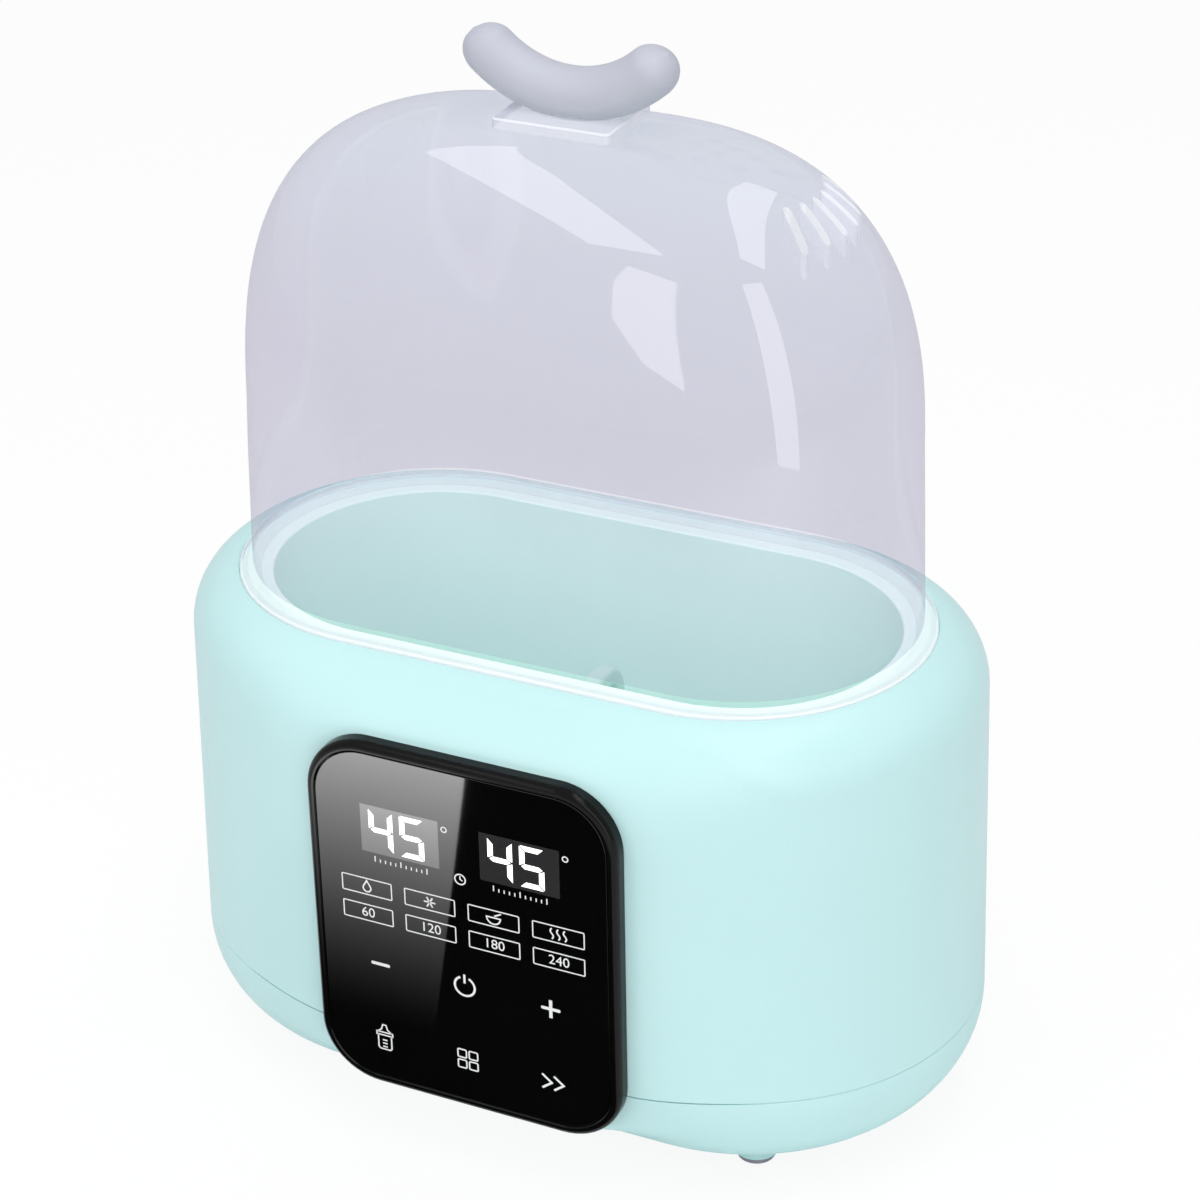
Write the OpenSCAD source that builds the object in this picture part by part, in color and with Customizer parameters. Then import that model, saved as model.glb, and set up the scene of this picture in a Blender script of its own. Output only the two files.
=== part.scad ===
// Double bottle warmer: an oval water tank over a flat heater, in a moulded body that
// carries a raised control panel, under a tall translucent lid with a bar handle.
// Millimetres, +Z up. The origin is on the table under the middle of the body, the
// long way of the oval runs along X, and the control panel faces -Y.

/* [Body] */
// Distance between the centres of the body's two round ends
end_spacing = 95.2; // [92:0.2:120]
// Radius of the body's round ends at the top of the wall
end_r = 62.4; // [60:0.2:72]
// How far the wall leans out from its top to its bottom
wall_lean = 3.2; // [0:0.1:6]
// Rounding of the top shoulder
shoulder_r = 17; // [13:0.5:22]
// Rounding of the underside edge
pan_r = 28; // [20:0.5:32]
// Straight wall of the base cover above its rounding
seam_rise = 2.5; // [1.5:0.5:8]
// Wall thickness of the housing and the base cover
wall = 2.6; // [2:0.1:3.6]
// Clear height of the electronics bay under the heating plate
bay_h = 40; // [38:0.5:60]
// Height of the locating tongue inside the seam
tongue_h = 5; // [3:0.5:10]
// Thickness of the locating tongue
tongue_t = 1.6; // [1:0.1:2.5]

/* [Feet] */
// Gap between the table and the underside
foot_h = 5; // [4:0.1:10]
// Height of the rubber pad below its moulded boss
pad_proud = 2.2; // [1:0.1:3.5]
// Depth of the pad's recess in the boss
pad_sink = 1.8; // [1:0.1:3]
// Radius of the rubber pad
pad_r = 5.2; // [4:0.1:8]
// Wall of the boss around the pad
boss_rim = 1.3; // [1:0.1:3]
// Foot position along the body, from the middle
foot_x = 65.5; // [50:0.5:75]
// Foot position across the body, from the middle
foot_y = 35; // [30:1:42]

/* [Tank] */
// Distance between the centres of the tank's round ends
tank_spacing = 91.2; // [86:0.2:94]
// Inside radius of the tank's round ends
tank_r = 42; // [40:0.2:44]
// Depth of the tank below its rim
tank_depth = 84.5; // [70:0.5:110]
// Tank wall thickness
tank_wall = 2; // [1.4:0.1:3]
// Width of the rim that seats the lid, from the tank's inside
rim_w = 9.3; // [7:0.1:10.5]
// Thickness of the rim
rim_t = 2.5; // [1.5:0.1:4]
// Thickness of the housing's ledge under the rim
ledge_t = 3; // [2:0.1:5]
// Thickness of the tank floor
floor_t = 2.4; // [1.6:0.1:4]
// Rounding between the tank wall and its floor
tank_fillet = 6; // [2:0.5:7]
// Width of the tank floor left around the heating plate's opening
floor_ring = 14; // [12:0.5:16]
// Step from the tank's outside in to the screw bosses under its floor
boss_step = 0.5; // [0.3:0.1:1.5]

/* [Heater] */
// Thickness of the silicone seal under the tank floor
seal_t = 1.5; // [1:0.1:3]
// Width of the seal
seal_w = 5; // [3:0.1:5.5]
// Thickness of the heating plate's edge
plate_t = 3.5; // [2:0.1:6]
// Height of the heating plate's middle above its edge
plate_rise = 2.6; // [1:0.1:3.5]
// Thickness of the clamp ring
clamp_t = 2.5; // [1.5:0.1:4]
// Width of the clamp ring outside its screws
clamp_edge = 1.6; // [1:0.1:2.4]
// Radius of the heating tube
tube_r = 3.2; // [2.5:0.1:4]
// Radius of the heating tube's loop about the end centres
loop_r = 20; // [16:0.5:23]
// Gap between the two ends of the heating tube
loop_gap = 26; // [20:1:40]
// Length of the cold pins on the heating tube
cold_pin_h = 6; // [4:0.5:8]
// Radius of the thermostat
thermostat_r = 8; // [6:0.5:9]
// Height of the thermostat
thermostat_h = 8; // [6:0.5:10]

/* [Control panel] */
// Width of the control panel
panel_w = 88; // [80:0.5:92]
// Height of the control panel
panel_h = 105.5; // [95:0.5:112]
// Height of the panel's lower edge above the underside
panel_low = 16.6; // [14:0.1:24]
// Corner rounding of the panel
panel_corner = 17; // [10:0.5:22]
// How far the panel stands out from the widest part of the wall
panel_proud = 9.2; // [8.4:0.1:14]
// Width of the bezel around the lens
bezel_rim = 2.7; // [2:0.1:4]
// Depth of the bezel's dark frame before the housing's raised seat
frame_depth = 4.5; // [3.5:0.1:5.5]
// Thickness of the bezel's back at its thinnest
bezel_back = 2.4; // [2:0.1:3]
// Thickness of the lens
lens_t = 1.6; // [1:0.1:2.5]
// Depth of the lens below the bezel's edge
lens_sink = 0.2; // [0:0.05:0.5]
// Width of each digit display
digit_w = 22.4; // [16:0.2:26]
// Height of each digit display
digit_h = 14.2; // [10:0.2:18]
// Middle of each digit display, from the panel's middle line
digit_x = 17; // [14:0.5:22]
// Middle of the digit displays below the panel's top edge
digit_drop = 25; // [18:0.5:30]
// Radius of the foam column behind each touch key
key_r = 3; // [2:0.1:3.4]
// Distance between neighbouring small keys
key_step = 18.3; // [16:0.1:19]
// Distance between neighbouring large keys
wide_key_step = 24.7; // [22:0.1:27]

/* [Lid] */
// Height of the lid above its flange
lid_h = 129.5; // [100:0.5:150]
// Wall thickness of the lid
lid_t = 2.2; // [1.4:0.1:3]
// Thickness of the lid's crown under the handle
crown_t = 3.8; // [3.2:0.1:5]
// Width of the flange outside the lid wall
flange_w = 3.6; // [2.5:0.1:5]
// Thickness of the flange
flange_t = 2.2; // [1.6:0.1:3]
// Height of the body's top above the flange
flange_drop = 0.3; // [0:0.1:1]
// Inward lean of the lid wall
lid_lean = 1.4; // [0.5:0.1:3]
// Height at which the ends of the lid start to curve in
end_curve_h = 50; // [30:1:60]
// How far the ends of the lid curve in at the crown
end_inset = 70.3; // [60:0.1:72]
// Fullness of the curve at the ends of the lid
end_fullness = 2.64; // [2:0.02:3]
// Height at which the sides of the lid start to curve in
side_curve_h = 30.4; // [20:0.1:50]
// How far the sides of the lid curve in at the crown
side_inset = 32.9; // [28:0.1:34]
// Fullness of the curve at the sides of the lid
side_fullness = 1.51; // [1.4:0.01:2.2]
// Number of steam slots
vent_count = 6; // [3:1:8]
// Width of a steam slot
vent_w = 2.2; // [1.5:0.1:3.5]
// Length of a steam slot, seen from above
vent_l = 9.5; // [7:0.5:14]
// Angle between neighbouring steam slots
vent_step = 14; // [12:0.5:16]
// Distance from the middle of the lid to the point that the slots fan out from
vent_fan_x = 45; // [40:0.5:48]
// Distance from that point to the inner ends of the slots
vent_reach = 20; // [17:0.5:22]

/* [Handle] */
// Radius of the handle bar
bar_r = 6.75; // [4.5:0.05:7]
// Radius of the bar's curve
bar_curve = 32.7; // [30:0.1:45]
// Angle from the middle of the bar to each end
bar_span = 41.8; // [34:0.2:44]
// Depth of the bar in the saddle's cradle
bar_sink = 2.3; // [1.5:0.1:3]
// Length of the raised saddle under the bar
saddle_l = 32; // [28:0.2:36]
// Width of the saddle
saddle_w = 25.4; // [18:0.2:26]
// Height of the saddle above the crown
saddle_up = 2.8; // [1:0.1:4]
// Corner rounding of the saddle
saddle_corner = 1.2; // [0.5:0.1:4]
// Radius of the staked pegs under the bar
peg_r = 2.4; // [1.5:0.1:3]
// Distance of each peg from the middle
peg_x = 9; // [6:0.5:10]

/* [Bottle tray] */
// Height of the tray above the tank floor
tray_lift = 8; // [7:0.5:12]
// Thickness of the tray
tray_t = 2.2; // [1.6:0.1:4]
// Height of the lifting loop above the tray
loop_h = 46; // [36:1:54]
// Width of the lifting loop
loop_w = 42; // [34:1:56]
// Thickness of the lifting loop
loop_t = 5; // [4:0.5:6]
// Radius of the tray's drain holes
drain_r = 3.2; // [2:0.1:3.6]
// Distance from the middle to the centre of each bottle place
bottle_x = 43.6; // [42:0.2:45]
// Radius of the tray's legs
leg_r = 2.5; // [1.5:0.1:3]

/* [Electronics] */
// Length of the power board
board_l = 104; // [100:1:112]
// Depth of the power board
board_w = 56; // [52:1:58]
// Thickness of the circuit boards
board_t = 1.6; // [1.2:0.1:2]
// Height of the power board above the base cover's floor
board_lift = 7; // [6:0.5:9]
// Distance of the board's screws in from its edges
board_inset = 5; // [4:0.5:7]
// Tallest component on the power board
part_h = 15; // [12:0.5:16]
// Length of the relay
relay_l = 19; // [15:0.5:22]
// Width of the relay
relay_w = 15.5; // [10:0.5:18]
// Length of the transformer
core_l = 22; // [18:0.5:24]
// Width of the transformer's core
core_w = 18; // [14:0.5:20]
// Radius of the filter capacitor and the buzzer
can_r = 6; // [4:0.5:7]
// Distance between the ways of the terminal block
terminal_pitch = 7; // [5:0.5:8]
// Width of the terminal block
terminal_w = 9; // [7:0.5:11]
// Height of the terminal block
terminal_h = 10; // [8:0.5:12]
// Gap between the seam's tongue and the cord gland's collar
gland_up = 1; // [0.5:0.1:4]
// Radius of the gland's bore for the mains cord
gland_bore_r = 3.4; // [2.5:0.1:4]
// Wall of the gland around the bore
gland_wall = 3.4; // [2.5:0.1:4]
// Length of the gland's nose behind the body
gland_nose = 7.4; // [6:0.1:9]
// Radius of the insulated wires
wire_r = 1.1; // [0.8:0.1:1.4]
// Width of the ribbon cable
ribbon_w = 16; // [10:1:20]
// Thickness of the ribbon cable
ribbon_t = 0.9; // [0.6:0.1:1.4]

/* [Screws] */
// Shank radius of the screws
shank_r = 1.5; // [1.2:0.1:1.7]
// Head radius of the screws
head_r = 2.9; // [2.4:0.1:3.1]
// Head height of the screws
head_h = 1.8; // [1.2:0.1:2.4]
// Wall of a boss around its screw
boss_wall = 2.6; // [2:0.1:3]
// Depth of the base screws' heads above the underside
base_sink = 8; // [5:0.5:10]
// Base screw position along the body, from the middle
base_screw_x = 34; // [26:1:42]
// Heater screw position along the body, from the middle
heater_screw_x = 12; // [8:1:15]
// Bite of a screw in the piece that it holds
bite = 2; // [1.5:0.1:2.2]
// Bite of the base screws in the tank's bosses
base_bite = 10; // [6:0.5:12]

/* [Fits] */
// Gap around the tank rim in the housing
rim_gap = 0.2; // [0.1:0.05:0.5]
// Gap around the lid's flange
lid_gap = 0.4; // [0.3:0.05:0.6]
// Gap around the bottle tray
tray_gap = 1; // [0.6:0.1:2]
// Gap between seated fixed pieces
seat_gap = 0.15; // [0.05:0.05:0.3]
// Gap around a screw's shank
screw_gap = 0.05; // [0.02:0.01:0.2]

/* [Hidden] */
$fn = 96;
eps = 0.01;

// Heights above the table, from the underside up to the lid's flange
z_under = foot_h;
z_bay = z_under + wall;
z_plate = z_bay + bay_h;
z_seal = z_plate + plate_t;
z_floor_low = z_seal + seal_t;
z_floor = z_floor_low + floor_t;
z_rim = z_floor + tank_depth;
z_flange = z_rim + flange_t;
z_top = z_flange + flange_drop;
body_h = z_top - z_under;
z_ledge = z_rim - rim_t - ledge_t;
z_seam = z_under + pan_r + seam_rise;

// Radii about the tank's end centres
rim_r = tank_r + rim_w;
recess_r = rim_r + rim_gap;
mouth_r = tank_r + tank_wall + rim_gap;
flange_r = recess_r - lid_gap;
lid_base_r = flange_r - flange_w;
opening_r = tank_r - floor_ring;
plate_r = opening_r + seal_w + seat_gap;
boss_r = shank_r + boss_wall;
boss_line = tank_r + tank_wall - boss_step - boss_r;
clamp_in_r = plate_r - seal_w;
clamp_out_r = boss_line + shank_r + clamp_edge;

// Control panel, measured out from the middle plane
panel_z0 = z_under + panel_low;
panel_mid_z = panel_z0 + panel_h / 2;
wall_max = body_half(z_under + pan_r);
panel_y = wall_max + panel_proud;
frame_y = panel_y - frame_depth;
tray_y = wall_max + seat_gap + bezel_back;
lens_y = panel_y - lens_sink;
lens_back_y = lens_y - lens_t;
display_y = tray_y + seat_gap;
display_front_y = display_y + board_t;
lens_w = panel_w - 2 * bezel_rim;
lens_h = panel_h - 2 * bezel_rim;
lens_corner = panel_corner - bezel_rim;
pocket_rim = 2;
digit_z = panel_z0 + panel_h - digit_drop;
cable_z = panel_mid_z - panel_h / 4;
cable_slot_h = 6;
// Rows of touch keys above the panel's middle, as shares of its height
small_key_rows = [0.084, 0.005];
wide_key_rows = [-0.131, -0.352];
bezel_screw_x = panel_w / 2 - panel_corner / 2;
bezel_screw_z = [z_seam + 2 * boss_r, panel_z0 + panel_h - panel_corner / 2 - boss_r];

// Lid and handle
crown_z = z_flange + lid_h;
saddle_z = crown_z + saddle_up;
bar_z = saddle_z - bar_sink + bar_r;
stake_h = 1;

// Cord gland, measured back from the middle plane
gland_neck_r = gland_bore_r + gland_wall;
gland_collar_r = gland_neck_r + gland_wall;
gland_z = z_seam + tongue_h + gland_up + gland_collar_r;
gland_seat_y = body_half(gland_z) + 2 * seat_gap;
gland_lock_y = gland_seat_y - wall - 4 * seat_gap;
gland_end_y = gland_lock_y - gland_wall;

// Power board
board_z = z_bay + board_lift;
board_top = board_z + board_t;
post_z = board_top + part_h / 2;
board_screw_x = board_l / 2 - board_inset;
board_screw_y = board_w / 2 - board_inset;
terminal_y = (board_w - terminal_w - board_inset) / 2;

// Mains wires: points after the gland, as [distance in towards the middle, drop]
mains_route = [[0, 0], [4, 1], [8, 6], [9, 14], [12, 22], [17, 25]];

// Half the body's width at a height above the table
function body_half(z) = end_r + wall_lean * (z_top - z) / body_h;

// Points of an arc about [cx, cy]
function arc(cx, cy, r, a0, a1, n = 9) =
  [for (i = [0:n]) let (a = a0 + (a1 - a0) * i / n) [cx + r * cos(a), cy + r * sin(a)]];

// Outline of a rectangle with round corners
function round_rect(w, h, r, n = 7) = concat(
  arc(w / 2 - r, h / 2 - r, r, 0, 90, n),
  arc(r - w / 2, h / 2 - r, r, 90, 180, n),
  arc(r - w / 2, r - h / 2, r, 180, 270, n),
  arc(w / 2 - r, r - h / 2, r, 270, 360, n));

// Section of the whole body, grown outwards by gap
function skin(gap = 0) = concat(
  [[0, z_under - gap]],
  arc(wall_max - pan_r, z_under + pan_r, pan_r + gap, -90, 0),
  arc(body_half(z_top - shoulder_r) - shoulder_r, z_top - shoulder_r, shoulder_r + gap, 0, 90),
  [[0, z_top + gap]]);

// Sweeps a wall section, given as [distance from the middle line, height], round an oval
module sweep(section, spacing) {
  for (s = [-1, 1]) {
    translate([s * spacing / 2, 0, 0])
      rotate(-90 * s)
        rotate_extrude(angle = 180)
          polygon(section);
    translate([-spacing / 2, 0, 0])
      rotate([90, 0, 90])
        linear_extrude(spacing)
          polygon([for (p = section) [s * p[0], p[1]]]);
  }
}

// Flat oval ring about the tank's end centres
module oval_ring(r_in, r_out, z0, z1) {
  sweep([[r_in, z0], [r_out, z0], [r_out, z1], [r_in, z1]], tank_spacing);
}

// Plate with round corners that faces the front, from depth y0 to y1 before the middle plane
module front_plate(w, h, r, y0, y1, z) {
  translate([0, -y0, z])
    rotate([90, 0, 0])
      linear_extrude(y1 - y0)
        polygon(round_rect(w, h, r));
}

// Box standing on a height, centred on a point
module block(l, w, h, at) {
  translate([at[0] - l / 2, at[1] - w / 2, at[2]])
    cube([l, w, h]);
}

// Screw with its head's seat at the origin, pointing up
module screw(length) {
  difference() {
    translate([0, 0, -head_h])
      cylinder(r = head_r, h = head_h);
    for (a = [0, 90])
      rotate(a)
        block(head_r * 1.3, head_r * 0.3, head_h, [0, 0, -1.5 * head_h]);
  }
  translate([0, 0, -eps])
    cylinder(r = shank_r, h = length + eps, $fn = 48);
}

// Places a child at each corner of a rectangle
module corners(x, y) {
  for (sx = [-1, 1], sy = [-1, 1])
    translate([sx * x, sy * y, 0])
      children();
}

// Places a child at each heater screw
module heater_screw_places() {
  corners(heater_screw_x, boss_line)
    children();
  for (s = [-1, 1])
    translate([s * (tank_spacing / 2 + boss_line), 0, 0])
      children();
}

// Places a child at each bezel screw, with +Z turned to the front
module bezel_screw_places() {
  for (sx = [-1, 1], z = bezel_screw_z)
    translate([sx * bezel_screw_x, 0, z])
      rotate([90, 0, 0])
        children();
}

// The body's skin over the panel's width, grown outwards by gap, as a solid
module front_skin(gap) {
  translate([-panel_w, 0, 0])
    rotate([90, 0, 90])
      linear_extrude(2 * panel_w)
        polygon([for (p = skin(gap)) [-p[0], p[1]]]);
}

// Raised seat around the panel's tub, between two heights
module panel_seat(z0, z1) {
  difference() {
    intersection() {
      front_plate(panel_w, panel_h, panel_corner, wall_max - pan_r, frame_y - seat_gap, panel_mid_z);
      block(2 * panel_w, 2 * panel_y, z1 - z0, [0, -panel_y, z0]);
    }
    front_skin(-wall / 2);
    front_plate(lens_w + 2 * seat_gap, lens_h + 2 * seat_gap, lens_corner + seat_gap,
      0, panel_y, panel_mid_z);
  }
}

// Upper shell with its shoulder, the seat for the tank rim and the cut-outs in its wall
module main_housing() {
  cavity_r = max(1, shoulder_r - (z_top - z_ledge));
  cavity_z = z_ledge - cavity_r;
  inner_line = mouth_r - abs(tank_spacing - end_spacing) / 2 - wall;
  section = concat(
    [[body_half(z_seam) - wall, z_seam], [body_half(z_seam), z_seam]],
    arc(body_half(z_top - shoulder_r) - shoulder_r, z_top - shoulder_r, shoulder_r, 0, 90),
    [[inner_line, z_top], [inner_line, z_ledge]],
    arc(body_half(cavity_z) - wall - cavity_r, cavity_z, cavity_r, 90, 0, 5));
  color("#bfe7e4")
    difference() {
      union() {
        sweep(section, end_spacing);
        panel_seat(z_seam, z_top);
      }
      oval_ring(0, recess_r, z_rim - rim_t, z_top + wall);
      oval_ring(0, mouth_r, z_ledge - wall, z_top + wall);
      block(ribbon_w + wall, wall_max, cable_slot_h, [0, -wall_max, cable_z - cable_slot_h / 2]);
      bezel_screw_places()
        cylinder(r = shank_r + screw_gap, h = panel_y);
      translate([0, 0, gland_z])
        rotate([-90, 0, 0])
          cylinder(r = gland_neck_r + seat_gap, h = panel_y);
    }
}

// Bowl-shaped bottom with feet, screw posts, board posts and air slots
module base_cover() {
  inner_r = pan_r - wall;
  lip = body_half(z_seam) - wall - rim_gap;
  section = concat(
    [[0, z_under]],
    arc(wall_max - pan_r, z_under + pan_r, pan_r, -90, 0),
    [[body_half(z_seam), z_seam], [lip, z_seam], [lip, z_seam + tongue_h],
     [lip - tongue_t, z_seam + tongue_h], [lip - tongue_t, z_under + pan_r]],
    arc(wall_max - pan_r, z_under + pan_r, inner_r, 0, -90),
    [[0, z_bay]]);
  air_slot_l = foot_y;
  air_slot_w = 3;
  air_slots = 7;
  color("#bfe7e4")
    difference() {
      union() {
        sweep(section, end_spacing);
        panel_seat(z_under, z_seam);
        corners(foot_x, foot_y)
          translate([0, 0, pad_proud])
            cylinder(r = pad_r + boss_rim, h = z_bay + wall - pad_proud);
        corners(base_screw_x, boss_line)
          translate([0, 0, z_under + wall / 2])
            cylinder(r = head_r + boss_wall, h = post_z - z_under - wall / 2);
        corners(board_screw_x, board_screw_y)
          translate([0, 0, z_bay - wall / 2])
            cylinder(r = boss_r, h = board_lift + wall / 2);
      }
      corners(foot_x, foot_y)
        cylinder(r = pad_r + seat_gap, h = pad_proud + pad_sink);
      corners(base_screw_x, boss_line) {
        cylinder(r = head_r + seat_gap, h = z_under + base_sink);
        cylinder(r = shank_r + screw_gap, h = post_z + wall);
      }
      corners(board_screw_x, board_screw_y)
        translate([0, 0, board_z - board_lift])
          cylinder(r = shank_r + screw_gap, h = board_lift + wall);
      for (i = [0:air_slots - 1])
        block(air_slot_w, air_slot_l, 3 * wall,
          [(i - (air_slots - 1) / 2) * 3 * air_slot_w, 0, z_under - wall]);
    }
}

// Pads pressed into the bosses under the base cover
module rubber_feet() {
  color("#8f8b96")
    corners(foot_x, foot_y)
      cylinder(r = pad_r, h = pad_proud + pad_sink);
}

// Long screws that pull the base cover and the tank together around the housing
module base_screws() {
  color("#b9bcc0")
    corners(base_screw_x, boss_line)
      translate([0, 0, z_under + base_sink])
        screw(post_z + base_bite - z_under - base_sink);
}

// Moulded tank whose rim hangs on the housing's ledge
module tank_liner() {
  section = concat(
    [[opening_r, z_floor]],
    arc(tank_r - tank_fillet, z_floor + tank_fillet, tank_fillet, -90, 0, 5),
    [[tank_r, z_rim], [rim_r, z_rim], [rim_r, z_rim - rim_t], [tank_r + tank_wall, z_rim - rim_t],
     [tank_r + tank_wall, z_floor_low], [opening_r, z_floor_low]]);
  color("#bfe3e2")
    difference() {
      union() {
        sweep(section, tank_spacing);
        corners(base_screw_x, boss_line)
          translate([0, 0, post_z])
            cylinder(r = boss_r, h = z_floor_low - post_z + floor_t / 2);
        heater_screw_places()
          translate([0, 0, z_plate])
            cylinder(r = boss_r, h = z_floor_low - z_plate + floor_t / 2);
      }
      corners(base_screw_x, boss_line)
        translate([0, 0, post_z - eps])
          cylinder(r = shank_r + screw_gap, h = base_bite + wall);
      heater_screw_places()
        translate([0, 0, z_plate - eps])
          cylinder(r = shank_r + screw_gap, h = plate_t + seal_t);
    }
}

// Silicone ring between the tank floor and the heating plate
module tank_seal() {
  color("#e8e6df")
    oval_ring(opening_r + seat_gap, plate_r, z_seal, z_floor_low);
}

// Pressed plate that closes the tank's floor
module heating_plate() {
  section = [[0, z_plate], [plate_r, z_plate], [plate_r, z_seal], [opening_r - seat_gap, z_seal],
    [opening_r - seat_gap, z_seal + plate_rise], [0, z_seal + plate_rise]];
  color("#c9ccd0")
    sweep(section, tank_spacing);
}

// Sheathed heating tube bent round under the plate, with its two cold pins
module heating_element() {
  tube_z = z_plate - tube_r - seat_gap;
  straight = (tank_spacing - loop_gap) / 2;
  color("#7d7f84")
    union() {
      for (s = [-1, 1]) {
        translate([s * tank_spacing / 2, 0, tube_z])
          rotate(-90 * s)
            rotate_extrude(angle = 180)
              translate([loop_r, 0])
                circle(r = tube_r, $fn = 32);
        translate([s * loop_gap / 2 + min(0, s) * straight, -loop_r, tube_z])
          rotate([0, 90, 0])
            cylinder(r = tube_r, h = straight, $fn = 32);
        translate([s * (loop_gap / 2 + 2 * tube_r), -loop_r, tube_z - tube_r - cold_pin_h + wall])
          cylinder(r = tube_r / 2, h = cold_pin_h, $fn = 24);
      }
      translate([-tank_spacing / 2, loop_r, tube_z])
        rotate([0, 90, 0])
          cylinder(r = tube_r, h = tank_spacing, $fn = 32);
    }
}

// Ring that holds the heating plate up against its seal
module heater_clamp() {
  color("#a9adb2")
    difference() {
      oval_ring(clamp_in_r, clamp_out_r, z_plate - clamp_t, z_plate);
      corners(base_screw_x, boss_line)
        translate([0, 0, z_plate - 2 * clamp_t])
          cylinder(r = boss_r + rim_gap, h = 3 * clamp_t);
      heater_screw_places()
        translate([0, 0, z_plate - 2 * clamp_t])
          cylinder(r = shank_r + screw_gap, h = 3 * clamp_t);
    }
}

// Screws that hold the clamp ring to the tank
module heater_screws() {
  color("#b9bcc0")
    heater_screw_places()
      translate([0, 0, z_plate - clamp_t])
        screw(clamp_t + 2 * bite);
}

// Snap thermostat pressed to the middle of the plate
module thermostat() {
  tab_l = 2.6 * thermostat_r;
  tab_t = 1;
  blade_t = 0.8;
  blade_h = 5;
  color("#3a3a3d")
    union() {
      translate([0, 0, z_plate - thermostat_h])
        cylinder(r = thermostat_r, h = thermostat_h);
      block(tab_l, thermostat_r, tab_t, [0, 0, z_plate - thermostat_h / 2]);
      for (s = [-1, 1])
        block(blade_t, thermostat_r / 2, blade_h,
          [s * thermostat_r / 2, 0, z_plate - thermostat_h - blade_h + tab_t]);
    }
}

// One-shot fuse held under the plate by its strap
module thermal_fuse() {
  fuse_r = 2;
  fuse_l = 14;
  color("#d8c9a0")
    union() {
      translate([-tank_spacing / 2 - fuse_l / 2, 0, z_plate - fuse_r - seat_gap])
        rotate([0, 90, 0])
          cylinder(r = fuse_r, h = fuse_l, $fn = 32);
      block(fuse_l / 3, 5 * fuse_r, 2 * fuse_r, [-tank_spacing / 2, 0, z_plate - 2 * fuse_r]);
    }
}

// Temperature probe in its flanged cup under the plate
module ntc_sensor() {
  probe_r = 3;
  probe_h = 8;
  cup_t = 1;
  color("#c8b070")
    translate([tank_spacing / 2, 0, z_plate]) {
      translate([0, 0, -probe_h])
        cylinder(r = probe_r, h = probe_h, $fn = 48);
      translate([0, 0, -cup_t])
        cylinder(r = 2 * probe_r, h = cup_t, $fn = 48);
    }
}

// Main circuit board on the base cover's posts
module power_board() {
  color("#2f6b46")
    difference() {
      block(board_l, board_w, board_t, [0, 0, board_z]);
      corners(board_screw_x, board_screw_y)
        translate([0, 0, board_z - board_t])
          cylinder(r = shank_r + screw_gap, h = 3 * board_t);
    }
}

// Screws through the main board into its posts
module board_screws() {
  color("#b9bcc0")
    corners(board_screw_x, board_screw_y)
      translate([0, 0, board_top])
        mirror([0, 0, 1])
          screw(board_t + board_lift / 2);
}

// Switching relay
module relay() {
  color("#2c5fa8")
    block(relay_l, relay_w, part_h, [-board_l / 4, 0, board_top]);
}

// Supply transformer: a wound core between two end cheeks
module transformer() {
  cheek = 2.5;
  color("#d6c35a")
    union() {
      block(core_l - 2 * cheek, core_w, part_h - cheek, [0, 0, board_top]);
      for (s = [-1, 1])
        block(cheek, core_w + 2 * cheek, part_h, [s * (core_l - cheek) / 2, 0, board_top]);
    }
}

// Upright filter capacitor
module filter_capacitor() {
  color("#22242a")
    translate([board_l / 4, board_w / 5, board_top])
      cylinder(r = can_r, h = part_h);
}

// Screw terminals for the mains and heater wires
module terminal_block() {
  ways = 4;
  entry_r = 2;
  color("#3f8f5a")
    difference() {
      block(ways * terminal_pitch, terminal_w, terminal_h, [0, terminal_y, board_top]);
      for (i = [0:ways - 1])
        translate([(i - (ways - 1) / 2) * terminal_pitch, terminal_y, board_top + terminal_h / 2])
          cylinder(r = entry_r, h = terminal_h, $fn = 32);
    }
}

// Disc buzzer on the main board
module buzzer() {
  mouth = can_r / 6;
  color("#1d1d20")
    translate([board_l / 4, -board_w / 5, board_top])
      difference() {
        cylinder(r = can_r, h = can_r);
        translate([0, 0, 4 * mouth])
          cylinder(r = mouth, h = can_r, $fn = 32);
      }
}

// Round wire swept along a path of points
module wire(path, r, sides = 8) {
  last = len(path) - 1;
  dirs = [for (i = [0:last]) path[min(i + 1, last)] - path[max(i - 1, 0)]];
  side_of = [for (d = dirs) cross(d, [1, 0, 0]) / norm(cross(d, [1, 0, 0]))];
  rings = [for (i = [0:last]) let (u = side_of[i], v = cross(dirs[i], u) / norm(dirs[i]))
    for (k = [0:sides - 1]) let (a = 360 * k / sides) path[i] + r * (u * cos(a) + v * sin(a))];
  walls = [for (i = [0:last - 1], k = [0:sides - 1]) let (n = (k + 1) % sides)
    each [[i * sides + k, (i + 1) * sides + n, i * sides + n],
      [i * sides + k, (i + 1) * sides + k, (i + 1) * sides + n]]];
  ends = [[for (k = [0:sides - 1]) k], [for (k = [sides - 1:-1:0]) last * sides + k]];
  polyhedron(rings, concat(walls, ends));
}

// Wires from the terminals up to the heating tube's cold pins
module heater_leads() {
  pin_z = z_plate - 2 * tube_r - seat_gap - cold_pin_h + wall;
  color("#e6e3dc")
    for (s = [-1, 1]) {
      x = s * (loop_gap / 2 + 2 * tube_r);
      y = -loop_r;
      low = board_top;
      wire([[x, y, pin_z], [x, y, (pin_z + low) / 2 + wire_r], [x, y, low]], wire_r);
    }
}

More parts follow.
